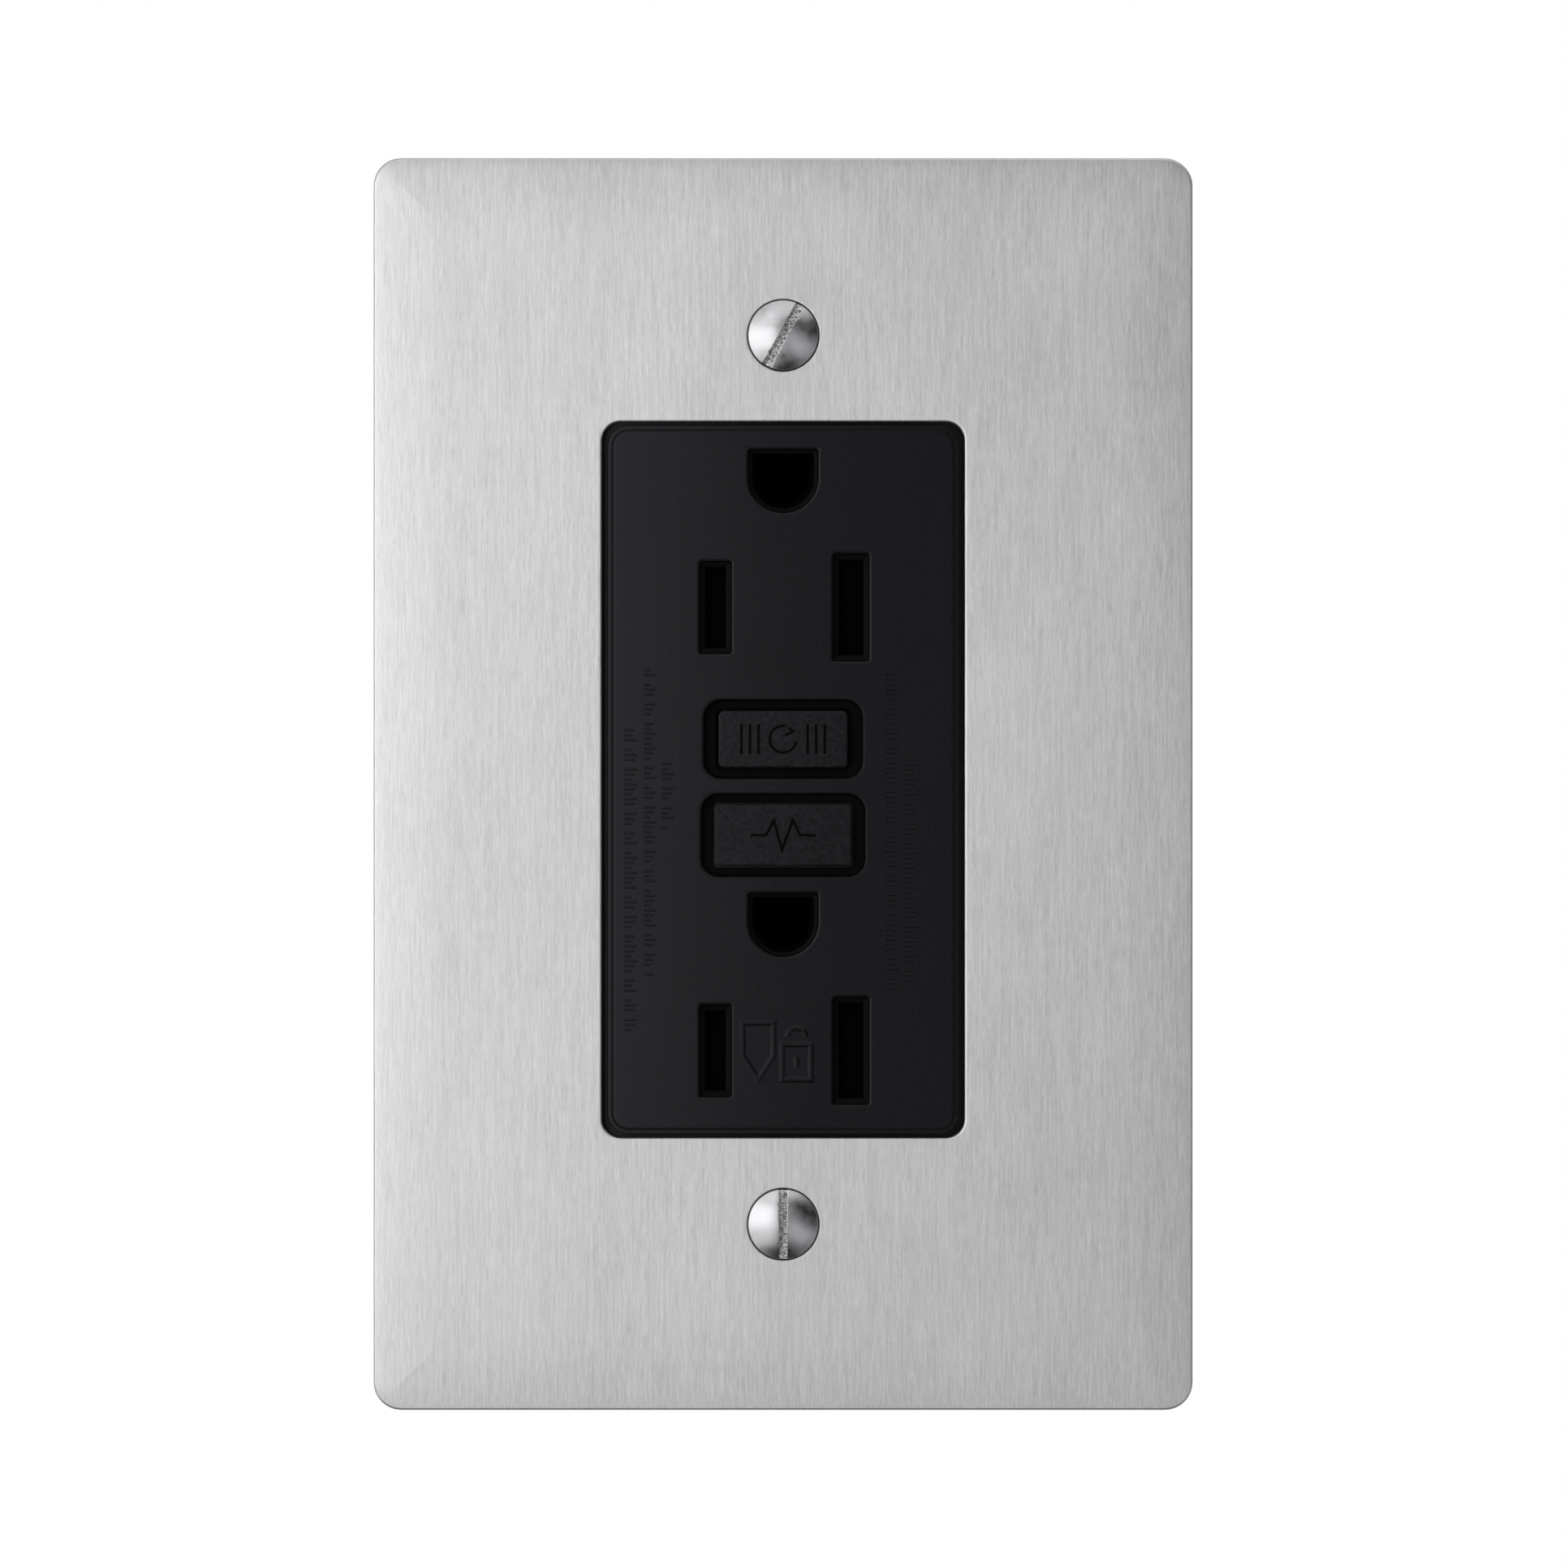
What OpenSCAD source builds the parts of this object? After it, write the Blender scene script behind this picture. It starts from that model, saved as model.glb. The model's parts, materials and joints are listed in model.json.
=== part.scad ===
// Wall plate with a test-and-reset duplex receptacle behind it.
// X is to the right, +Y goes into the wall, Z is up. The wall plane is y = 0 and the face looks towards -Y.

/* [Wall plate] */
// Width of the plate
plate_w = 76.8; // [72:0.1:84]
// Height of the plate
plate_h = 117.4; // [116:0.1:130]
// How far the plate's front stands off the wall
plate_d = 5; // [4.6:0.1:6]
// Thickness of the plate's sheet
plate_t = 0.9; // [0.7:0.1:1]
// Corner radius of the plate
plate_r = 2.6; // [2:0.1:5]
// Width of the plate's opening
opening_w = 34; // [33.8:0.1:34.4]
// Height of the plate's opening
opening_h = 67.1; // [67:0.1:67.6]
// Corner radius of the opening
opening_r = 1.75; // [1:0.05:2.5]
// How far the plate's outline sits below the middle of its screws
plate_drop = 0.4; // [0:0.1:0.8]

/* [Mounting screws] */
// Distance between the two mounting screws
screw_pitch = 83.34; // [83:0.01:83.6]
// Diameter of a screw head
screw_head_d = 6.6; // [6.4:0.1:7]
// Radius of the thread
thread_r = 1.75; // [1.7:0.01:1.8]
// Radius of the neck under the head
neck_r = 1.45; // [1.4:0.01:1.5]
// How far the thread reaches behind the wall plane
thread_end = 24; // [18:1:32]
// Width of the screwdriver slot
slot_w = 0.82; // [0.7:0.01:1]
// Lean of the upper screw's slot from upright, clockwise
upper_lean = 29; // [0:1:90]
// Lean of the lower screw's slot from upright
lower_lean = 0; // [0:1:90]

/* [Receptacle face] */
// Width of the raised face at its foot
face_w = 33; // [32.6:0.1:33.2]
// Height of the raised face at its foot
face_h = 66.5; // [66:0.1:66.6]
// How far the face stands off the wall
face_d = 5.4; // [5.2:0.1:5.8]
// Width of the step round the face
face_step = 0.45; // [0.3:0.05:0.6]
// Distance of each blade slot from the middle
blade_x = 6.35; // [6.35:0.01:6.36]
// Height of the upper blade slots
upper_blade_z = 16.15; // [16:0.05:16.3]
// Height of the lower blade slots
lower_blade_z = -25.4; // [-25.5:0.05:-25.3]
// Height of the upper ground hole
upper_ground_z = 28; // [27.9:0.05:28.1]
// Height of the lower ground hole
lower_ground_z = -13.6; // [-13.7:0.05:-13.5]
// Height of the reset button
reset_z = 3.8; // [3.7:0.05:3.9]
// Height of the test button
test_z = -5.2; // [-5.3:0.05:-5.1]

/* [Housing] */
// Width of the rear housing
case_w = 43; // [42.6:0.1:44]
// Height of the rear housing
case_h = 68; // [67.6:0.1:69]
// Depth of the rear housing behind the strap
case_d = 28.5; // [28.3:0.1:32]
// Wall of the rear housing
case_t = 1.8; // [1.6:0.1:1.9]
// Height of the terminal screws above and below the middle
terminal_z = 22; // [21.8:0.1:22.2]

/* [Hidden] */
$fn = 48;

// Colours
STEEL = "silver";
ZINC = "lightgray";
BLACK = [0.08, 0.08, 0.09];
GREY = [0.35, 0.36, 0.38];
BRASS = [0.80, 0.66, 0.32];
COPPER = [0.72, 0.42, 0.25];
GREEN = [0.16, 0.42, 0.24];
WHITE = [0.86, 0.86, 0.83];

// Sides of the receptacle
HOT = -1;
NEUTRAL = 1;

// Depths along Y, from the front to the back
skin_t = 1.6; // thickness of the face's skin
skin_y = skin_t - face_d; // its inner side
ledge_y = -4.9; // front of the step round the face
flange_y = -3.4; // front of the flange behind the plate
strap_t = 1.2; // thickness of the strap
carrier_d = 9.5; // back of the middle housing
board_y = 23.8; // front of the circuit board

// Blade slots and ground holes
hot_slot = [1.86, 7.5]; // inner width and height
neutral_slot = [2.25, 8.9];
slot_flare = 0.6; // how much wider each side of a slot is at the surface
slot_flare_d = 0.7;
ground_r = 2.85; // half width of the ground hole
ground_h = 5.1;
ground_flare = 0.45;

// Buttons and their recesses
reset_size = [12.1, 5.3];
reset_recess = [14.85, 7.3];
test_size = [12.8, 5.75];
test_recess = [15.3, 7.7];
recess_d = 1;
recess_r = 1.6;
button_r = 0.8;
button_gap = 0.25; // between a button and its hole
button_front = -5.3;

// Case screws, at the corners of the housing
case_screw_x = 16.6;
case_screw_z = 29.6;

// Side terminals
terminal_x = 15.7; // outer side of the terminal plate
clamp_x = 18.1; // inner side of the clamp, backed out
clamp_t = 1.2;
clamp_size = 9;
terminal_y = 15;
terminal_screw_r = 2;
terminal_bore_r = 2.08;
wire_r = 1.25; // back wire holes
wire_z = 3.2; // their distance from the terminal's height
wire_x = (terminal_x + clamp_x) / 2;
ground_lug_x = -9;
ground_lug_y = 5.2;
ground_lug_z = -37.2; // outer side of the bent lug
ground_clamp_gap = 1.9; // from the lug to its clamp, backed out

// Latch, arms and solenoid
wing_y = 14.1; // front of the wings that carry the arms
arm_y = 13.25; // middle of an arm's thickness
arm_t = 0.7;
arm_x = 7.5;
contact_z = 7; // height of the contact rivets
solenoid_y = 17.5;
core_z = -20;

// Shapes ------------------------------------------------------------------------------------------

// Lowest and highest X of a span given by two distances from the middle on one side
function span(side, a, b) = [min(side * a, side * b), max(side * a, side * b)];

// A flat outline, drawn in X and Z, made solid from depth y0 to depth y1
module slab(y0, y1) {
    translate([0, y1, 0])
        rotate([90, 0, 0])
            linear_extrude(y1 - y0)
                children();
}

// A box from its lowest to its highest corner
module block(low, high) {
    translate(low)
        cube(high - low);
}

// A round rod along Y
module rod_y(r, y0, y1, x = 0, z = 0) {
    translate([x, y1, z])
        rotate([90, 0, 0])
            cylinder(r = r, h = y1 - y0);
}

// A round rod along X
module rod_x(r, x0, x1, y = 0, z = 0) {
    translate([x0, y, z])
        rotate([0, 90, 0])
            cylinder(r = r, h = x1 - x0);
}

// A round rod along Z
module rod_z(r, z0, z1, x = 0, y = 0) {
    translate([x, y, z0])
        cylinder(r = r, h = z1 - z0);
}

// A profile of radius and distance in front of the wall plane, turned about an axis along Y
module turned_y(x, z) {
    translate([x, 0, z])
        rotate([90, 0, 0])
            rotate_extrude()
                children();
}

// A rectangle with round corners, centred
module round_rect(w, h, r) {
    square([w - 2 * r, h], center = true);
    square([w, h - 2 * r], center = true);
    for (sx = [-1, 1], sz = [-1, 1])
        translate([sx * (w / 2 - r), sz * (h / 2 - r)])
            circle(r);
}

// A slot with round ends along X
module obround(length, width) {
    square([length - width, width], center = true);
    for (sx = [-1, 1])
        translate([sx * (length - width) / 2, 0])
            circle(d = width);
}

// The outline of a ground hole: flat on top, round below
module ground_outline(grow = 0) {
    r = ground_r + grow;
    h = ground_h + 2 * grow;
    translate([-r, r - h / 2])
        square([2 * r, h - r]);
    translate([0, r - h / 2])
        circle(r);
}

// A pair of blade slots and the ground hole of one outlet, cut through the face's skin
module outlet_cut(blade_z, ground_z) {
    for (side = [HOT, NEUTRAL]) {
        size = side == HOT ? hot_slot : neutral_slot;
        wide = [size.x + 2 * slot_flare, size.y + 2 * slot_flare];
        translate([side * blade_x, 0, blade_z]) {
            slab(-face_d - 1, skin_y + 1)
                square(size, center = true);
            slab(-face_d - 1, slot_flare_d - face_d)
                round_rect(wide.x, wide.y, slot_flare / 2);
        }
    }
    translate([0, 0, ground_z]) {
        slab(-face_d - 1, 1)
            ground_outline();
        slab(-face_d - 1, slot_flare_d - face_d)
            ground_outline(ground_flare);
    }
}

// A round wire wound into an open compression spring of closed rings, along Z from z = 0
module coil_spring(r, wire, length, turns) {
    pitch = (length - wire) / turns;
    for (i = [0 : turns])
        translate([0, 0, wire / 2 + i * pitch])
            rotate_extrude()
                translate([r - wire / 2, 0])
                    circle(d = wire, $fn = 16);
    for (i = [0 : turns - 1])
        rotate([0, 0, i * 180])
            translate([r - wire / 2, 0, wire / 2 + i * pitch])
                cylinder(d = wire * 0.8, h = pitch, $fn = 16);
}

// A slotted screw head with its shank, along Z from the seat at z = 0 upwards, and the shank below it
module slotted_screw(head_r, head_t, shank_r, shank_l, slot) {
    difference() {
        union() {
            cylinder(r = head_r, h = head_t * 0.7);
            translate([0, 0, head_t * 0.7])
                cylinder(r = head_r * 0.88, h = head_t * 0.3);
            translate([0, 0, -shank_l])
                cylinder(r = shank_r, h = shank_l + 0.1);
        }
        translate([-slot / 2, -head_r - 1, head_t * 0.4])
            cube([slot, 2 * head_r + 2, head_t]);
    }
}

// Wall plate and its screws -----------------------------------------------------------------------

countersink_slope = tan(41);
seat_gap = 0.1;
seat_r = screw_head_d / 2 + seat_gap;
seat_low_r = neck_r + 0.35;
seat_depth = (seat_r - seat_low_r) / countersink_slope;

module wall_plate() {
    inner_w = plate_w - 2 * plate_t;
    inner_h = plate_h - 2 * plate_t;
    inner_r = plate_r - plate_t;
    rise = 1.3 * plate_t; // the sheet's thickness measured across the cone
    color(STEEL) {
        difference() {
            slab(-plate_d, 0)
                translate([0, -plate_drop])
                    round_rect(plate_w, plate_h, plate_r);
            slab(plate_t - plate_d, 1)
                translate([0, -plate_drop])
                    round_rect(inner_w, inner_h, inner_r);
            slab(-plate_d - 1, 0)
                round_rect(opening_w, opening_h, opening_r);
            for (s = [-1, 1])
                rod_y(seat_r, -plate_d - 1, 0, 0, s * screw_pitch / 2);
        }
        for (s = [-1, 1])
            turned_y(0, s * screw_pitch / 2)
                polygon([
                    [seat_r, plate_d],
                    [seat_r + 0.3, plate_d],
                    [seat_r + rise, plate_d - plate_t],
                    [seat_low_r + 0.6, plate_d - seat_depth - 0.4],
                    [seat_low_r, plate_d - seat_depth - 0.4],
                    [seat_low_r, plate_d - seat_depth]
                ]);
    }
}

module mounting_screw(z, lean) {
    head_r = screw_head_d / 2;
    slot_floor_y = 0.4 - plate_d;
    rim = 0.25; // height of the straight rim round the dome
    crown = 0.75; // height of the dome above the rim
    dome_r = (head_r * head_r + crown * crown) / (2 * crown);
    cone = (head_r - neck_r) / countersink_slope;
    difference() {
        union() {
            turned_y(0, z)
                polygon([
                    [0, plate_d + rim],
                    [head_r, plate_d + rim],
                    [head_r, plate_d],
                    [neck_r, plate_d - cone],
                    [0, plate_d - cone]
                ]);
            intersection() {
                translate([0, dome_r - plate_d - rim - crown, z])
                    sphere(dome_r, $fn = 96);
                rod_y(head_r, -plate_d - rim - crown - 1, -plate_d - rim, 0, z);
            }
            rod_y(neck_r, cone - plate_d, 0.45, 0, z);
            rod_y(thread_r, 0.45, thread_end, 0, z);
        }
        translate([0, 0, z])
            rotate([0, lean, 0])
                block([-slot_w / 2, -plate_d - 3, -head_r - 1], [slot_w / 2, slot_floor_y, head_r + 1]);
    }
}

module mounting_screws() {
    color(STEEL) {
        mounting_screw(screw_pitch / 2, upper_lean);
        mounting_screw(-screw_pitch / 2, lower_lean);
    }
}

module screw_retainers() {
    color(WHITE)
        for (s = [-1, 1])
            difference() {
                rod_y(4, 0, 0.4, 0, s * screw_pitch / 2);
                rod_y(neck_r + 0.05, -1, 1, 0, s * screw_pitch / 2);
            }
}

// Strap and housings ------------------------------------------------------------------------------

strap_h = 106.4;
strap_w = 27;
strap_body_h = 74.4; // height of the wide part behind the face
strap_end_w = 20;
ear_size = [33, 6.8]; // the ears that rest on the wall at each end
strap_slot = [7, 4.1];
tapped_z = 48.4; // spare tapped holes
tapped_r = 1.6;
outlet_window = [19.2, 11.9];
button_window = [17.2, 17.1];
ground_window_r = 3.3;
lug_w = 8.4; // width of the bent ground lug
lug_end_y = 9.6; // how far it reaches back

module strap_outline() {
    difference() {
        union() {
            square([strap_w, strap_body_h], center = true);
            round_rect(strap_end_w, strap_h, 2);
            for (s = [-1, 1])
                translate([0, s * (strap_h - ear_size.y) / 2])
                    round_rect(ear_size.x, ear_size.y, 2);
        }
        for (s = [-1, 1]) {
            translate([0, s * screw_pitch / 2])
                obround(strap_slot.x, strap_slot.y);
            translate([0, s * tapped_z])
                circle(tapped_r);
        }
        for (z = [upper_blade_z, lower_blade_z])
            translate([0, z])
                square(outlet_window, center = true);
        translate([0, (reset_z + test_z) / 2])
            square(button_window, center = true);
        for (z = [upper_ground_z, lower_ground_z])
            translate([0, z])
                circle(ground_window_r);
    }
}

module mounting_strap() {
    lug_x = [ground_lug_x - lug_w / 2, ground_lug_x + lug_w / 2];
    color(ZINC) {
        slab(-strap_t, 0)
            strap_outline();
        difference() {
            block([lug_x[0], -0.2, ground_lug_z], [lug_x[1], lug_end_y, ground_lug_z + strap_t]);
            rod_z(terminal_bore_r, ground_lug_z - 1, ground_lug_z + 3, ground_lug_x, ground_lug_y);
        }
    }
}

module button_pocket(z, recess, size) {
    translate([0, 0, z]) {
        slab(-face_d - 1, recess_d - face_d)
            round_rect(recess.x, recess.y, recess_r);
        slab(-face_d - 1, skin_y + 1)
            round_rect(size.x + 2 * button_gap, size.y + 2 * button_gap, button_r);
    }
}

shutter_room = [23, 12.1]; // width and height of the room for the shutters behind the skin

module face_cover() {
    flange_w = case_w - 0.4;
    color(BLACK)
        difference() {
            union() {
                slab(flange_y, 0)
                    round_rect(flange_w, case_h, 2.5);
                slab(ledge_y, flange_y)
                    round_rect(face_w, face_h, 1.75);
                slab(-face_d, ledge_y)
                    round_rect(face_w - 2 * face_step, face_h - 2 * face_step, 1.75 - face_step / 2);
                for (sx = [-1, 1], sz = [-1, 1])
                    rod_y(2.4, -0.2, 6, sx * case_screw_x, sz * case_screw_z);
            }
            block([-strap_w / 2 - 0.2, -strap_t, -40], [strap_w / 2 + 0.2, 1, 40]);
            for (z = [upper_blade_z, lower_blade_z])
                translate([0, 0, z])
                    slab(skin_y, 1)
                        square(shutter_room, center = true);
            outlet_cut(upper_blade_z, upper_ground_z);
            outlet_cut(lower_blade_z, lower_ground_z);
            button_pocket(reset_z, reset_recess, reset_size);
            button_pocket(test_z, test_recess, test_size);
            block([-7.6, skin_y, -9.2], [7.6, 1, 7.9]);
            for (sx = [-1, 1], sz = [-1, 1])
                rod_y(1.35, -2.6, 7, sx * case_screw_x, sz * case_screw_z);
        }
}

well_floor_y = 8.4; // where the contact pockets end
web = [4.6, 6.2]; // front and back of the web that the reset spring sits on

module contact_pocket(side, blade_z) {
    reach = span(side, 10.1, 4.2);
    block([reach[0], -1, blade_z - 5.2], [reach[1], well_floor_y, blade_z + 4.6]);
    translate([side * blade_x, 0, blade_z])
        slab(0, carrier_d + 1)
            square([2.6, 8.4], center = true);
}

module bus_channel(side) {
    strip = span(side, 10.1, 8.3);
    leg = span(side, 16.1, 8.3);
    rivet = span(side, 10, 5.5);
    block([strip[0], -1, -30.4], [strip[1], well_floor_y, 24.8]);
    block([leg[0], 5.8, 22], [leg[1], carrier_d + 1, 24.8]);
    block([rivet[0], 7, contact_z - 1.9], [rivet[1], well_floor_y, contact_z + 1.9]);
    rod_y(1.3, 7, carrier_d + 1, side * arm_x, contact_z);
}

module middle_housing() {
    color(GREY)
        difference() {
            slab(0, carrier_d)
                round_rect(39, 64, 1);
            for (sx = [-1, 1], sz = [-1, 1])
                translate([sx * case_screw_x, 0, sz * case_screw_z])
                    slab(-1, carrier_d + 1)
                        square([6.4, 6.4], center = true);
            for (side = [HOT, NEUTRAL]) {
                contact_pocket(side, upper_blade_z);
                contact_pocket(side, lower_blade_z);
                bus_channel(side);
            }
            for (z = [upper_ground_z, lower_ground_z])
                block([-5.5, -1, z - 3.9], [5.5, well_floor_y, z + 3.4]);
            block([-7.6, -1, -0.1], [7.6, web[0], 7.8]);
            rod_y(2.1, 0, carrier_d, 0, reset_z);
            block([-5.1, web[1], 0.3], [5.1, carrier_d + 1, 7.3]);
            block([-3.4, -1, test_z - 2.1], [8.1, well_floor_y, test_z + 2.1]);
        }
}

module terminal_pocket_shell(side, z) {
    x = span(side, 14.3, 20);
    block([x[0], carrier_d + 0.2, z - 5.9], [x[1], 21.4, z + 5.9]);
}

module terminal_pocket_room(side, z) {
    x = span(side, 14, 24);
    block([x[0], carrier_d - 1, z - 5.1], [x[1], 20.5, z + 5.1]);
}

label_size = [24, 34]; // sunk field on the back
strip_gauge = [14, 2]; // groove as long as a wire's stripped end
strip_gauge_z = 24;
mark_d = 0.4; // how deep both are sunk

module rear_housing() {
    inner_w = case_w - 2 * case_t;
    inner_h = case_h - 2 * case_t;
    color(BLACK)
        difference() {
            union() {
                difference() {
                    slab(0, case_d)
                        round_rect(case_w, case_h, 3);
                    slab(-1, case_d - case_t)
                        round_rect(inner_w, inner_h, 1.4);
                }
                for (sx = [-1, 1], sz = [-1, 1])
                    rod_y(2.9, 6.1, case_d, sx * case_screw_x, sz * case_screw_z);
                for (side = [HOT, NEUTRAL], s = [-1, 1])
                    terminal_pocket_shell(side, s * terminal_z);
            }
            for (side = [HOT, NEUTRAL], s = [-1, 1]) {
                terminal_pocket_room(side, s * terminal_z);
                for (dz = [-wire_z, wire_z])
                    rod_y(wire_r, 19, case_d + 1, side * wire_x, s * terminal_z + dz);
            }
            for (side = [HOT, NEUTRAL])
                block([side * 15 - 1.2, 19, -terminal_z - 1.9], [side * 15 + 1.2, 22, -terminal_z + 1.9]);
            slab(case_d - mark_d, case_d + 1)
                round_rect(label_size.x, label_size.y, 1);
            for (s = [-1, 1])
                slab(case_d - mark_d, case_d + 1)
                    translate([0, s * strip_gauge_z])
                        square(strip_gauge, center = true);
            for (sx = [-1, 1], sz = [-1, 1]) {
                rod_y(1.5, 0, case_d + 1, sx * case_screw_x, sz * case_screw_z);
                rod_y(2.4, case_d - 2.2, case_d + 1, sx * case_screw_x, sz * case_screw_z);
            }
        }
}

module case_screws() {
    color(ZINC)
        for (sx = [-1, 1], sz = [-1, 1])
            translate([sx * case_screw_x, case_d - 2.2, sz * case_screw_z])
                rotate([-90, 0, 0])
                    slotted_screw(2.2, 1.8, 1.3, case_d, 0.7);
}

// Contacts and terminals --------------------------------------------------------------------------

leaf_t = 0.7;
leaf_gap = 0.95; // from a blade's middle to a leaf

// Both leaves of one blade contact, and the bridge that joins them to the strip
module clip_outline(side, blade_z) {
    for (k = [-1, 1])
        translate([side * blade_x + k * (leaf_gap + leaf_t / 2), blade_z - 0.35])
            square([leaf_t, 8.5], center = true);
    bridge = span(side, 9.6, blade_x - leaf_gap - leaf_t);
    translate([bridge[0], blade_z - 4.6])
        square([bridge[1] - bridge[0], leaf_t]);
}

module bus(side) {
    slab(1.2, 8.1) {
        clip_outline(side, upper_blade_z);
        clip_outline(side, lower_blade_z);
        translate([side * 9.2, -2.8])
            square([0.8, 54.4], center = true);
    }
    leg_x = span(side, terminal_x, 8.8);
    pad_x = span(side, 9.4, 5.8);
    riser_x = span(side, 9.6, 8.8);
    block([leg_x[0], 6.3, 22.4], [leg_x[1], 8.1, 24.4]);
    terminal_plate(side, terminal_z, 6.3);
    block([pad_x[0], 7.3, contact_z - 1.5], [pad_x[1], 8.1, contact_z + 1.5]);
    rod_y(1, 8, 10.3, side * arm_x, contact_z);
    rod_y(1.7, 10.2, 11.2, side * arm_x, contact_z);
    block([riser_x[0], 1.2, 20], [riser_x[1], 8.1, 24.4]);
}

// The plate that a terminal screw threads into. Its narrow neck starts at depth neck_y in front of
// the plate, or ends there behind it.
module terminal_plate(side, z, neck_y) {
    x0 = span(side, terminal_x, terminal_x - 1.2)[0];
    x1 = x0 + 1.2;
    half = clamp_size / 2;
    difference() {
        union() {
            block([x0, 10.2, z - half], [x1, 19.5, z + half]);
            if (neck_y < 10)
                block([x0, neck_y, 22.4], [x1, 10.4, 24.4]);
            else
                block([x0, 19.4, z - 1.6], [x1, neck_y, z + 1.6]);
        }
        rod_x(terminal_bore_r, x0 - 1, x1 + 1, terminal_y, z);
    }
}

module hot_bus() {
    color(BRASS)
        bus(HOT);
}

module neutral_bus() {
    color(ZINC)
        bus(NEUTRAL);
}

// Terminal plate on the line side, and the conductor through the sense cores to the arm's hinge
module line_terminal(side) {
    terminal_plate(side, -terminal_z, 23.4);
    cross = span(side, terminal_x, 1);
    post = span(side, 2.6, 1);
    tab = span(side, 9.5, 1);
    block([cross[0], 22.4, core_z - 2.2], [cross[1], 23.4, core_z - 0.6]);
    block([post[0], 11.2, core_z - 1.7], [post[1], 23.4, core_z + 1]);
    block([post[0], 11.2, core_z], [post[1], 12.2, -9.6]);
    block([tab[0], 11.2, -12.2], [tab[1], 12.2, -9.6]);
}

module hot_line_terminal() {
    color(BRASS)
        line_terminal(HOT);
}

module neutral_line_terminal() {
    color(ZINC)
        line_terminal(NEUTRAL);
}

module ground_contacts() {
    color(BRASS)
        for (z = [upper_ground_z, lower_ground_z])
            translate([0, 0, z]) {
                slab(0, 8.1)
                    for (k = [-1, 1])
                        translate([k * 2.75, -0.3])
                            square([0.7, 6.2], center = true);
                slab(0, 8.1)
                    translate([0, -3.2])
                        square([6.2, 0.6], center = true);
                slab(0, 0.6)
                    difference() {
                        translate([0, -0.1])
                            square([10.4, 6.6], center = true);
                        translate([0, 0.1])
                            square([5, 6.2], center = true);
                    }
            }
}

// A clamp plate and screw pointing along +X, with the clamp's inner side at x = 0
module clamp_plate(size) {
    difference() {
        block([0, -size / 2, -size / 2], [clamp_t, size / 2, size / 2]);
        rod_x(terminal_bore_r + 0.1, -1, clamp_t + 1);
    }
}

module clamp_screw(head_r, head_t, shank_l) {
    translate([clamp_t + 0.02, 0, 0])
        rotate([0, 90, 0])
            slotted_screw(head_r, head_t, terminal_screw_r, shank_l, 1.1);
}

// Places a terminal's piece on its side of the housing
module at_terminal(side, s) {
    translate([side * clamp_x, terminal_y, s * terminal_z])
        rotate([0, 0, side == HOT ? 180 : 0])
            children();
}

module terminal_clamp(side, s) {
    color(ZINC)
        at_terminal(side, s)
            clamp_plate(clamp_size);
}

module terminal_screw(side, s) {
    color(side == HOT ? BRASS : ZINC)
        at_terminal(side, s)
            clamp_screw(4, 1.9, 6);
}

module at_ground_lug() {
    translate([ground_lug_x, ground_lug_y, ground_lug_z - ground_clamp_gap])
        rotate([0, 90, 0])
            children();
}

module ground_clamp() {
    color(ZINC)
        at_ground_lug()
            clamp_plate(7.2);
}

module ground_screw() {
    color(GREEN)
        at_ground_lug()
            clamp_screw(3.6, 2, 4.3);
}

// Circuit board and its parts ---------------------------------------------------------------------

module circuit_board() {
    color([0.1, 0.35, 0.2])
        difference() {
            slab(board_y, board_y + 1.5)
                round_rect(27, 60, 1);
            for (sx = [-1, 1], sz = [-1, 1])
                rod_y(3.3, board_y - 1, board_y + 3, sx * case_screw_x, sz * case_screw_z);
        }
}

module sensing_chip() {
    color(BLACK) {
        block([-2.5, board_y - 1.8, -11], [2.5, board_y - 0.2, -7]);
        for (sx = [-1, 1], i = [0 : 3])
            block([sx * 2.9 - 0.5, board_y - 0.9, -10.6 + i], [sx * 2.9 + 0.5, board_y, -10.2 + i]);
    }
}

module capacitors() {
    color([0.1, 0.12, 0.3]) {
        rod_y(2.6, 17, board_y, 10.2, 13.5);
        rod_y(2, 18.5, board_y, 10.4, 20.5);
    }
}

module varistor() {
    color([0.15, 0.3, 0.55])
        rod_x(4.2, -12, -9.2, board_y - 4.8, 13.5);
}

module thyristor() {
    color(BLACK)
        difference() {
            rod_y(2.3, 18.6, board_y, -9.6, -3);
            block([-13, 18, -6], [-10.9, board_y + 1, 0]);
        }
}

module resistors() {
    color([0.75, 0.62, 0.45])
        for (i = [0 : 2])
            rod_z(0.8, -8.5, -3.5, 6 + 2.6 * i, board_y - 0.8);
}

// Sense cores -------------------------------------------------------------------------------------

core_in = 4;
core_out = 8.1;

module ring_y(r_in, r_out, y0, y1, z) {
    difference() {
        rod_y(r_out, y0, y1, 0, z);
        rod_y(r_in, y0 - 1, y1 + 1, 0, z);
    }
}

module sense_core() {
    color(GREY)
        ring_y(core_in, core_out, 13.7, 17.5, core_z);
}

module neutral_core() {
    color(GREY)
        ring_y(core_in, core_out, 18.2, 21.8, core_z);
}

module core_holder() {
    color(WHITE) {
        ring_y(core_out + 0.1, core_out + 0.9, 12.8, 22.2, core_z);
        ring_y(3.2, 3.9, 12.8, 22.2, core_z);
        ring_y(3.2, core_out + 0.9, 12.8, 13.6, core_z);
        ring_y(core_in - 0.1, core_out + 0.2, 17.6, 18.1, core_z);
    }
}

// Solenoid ----------------------------------------------------------------------------------------

bobbin_z = 12.6; // lower end of the bobbin
bobbin_h = 14.6;

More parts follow.
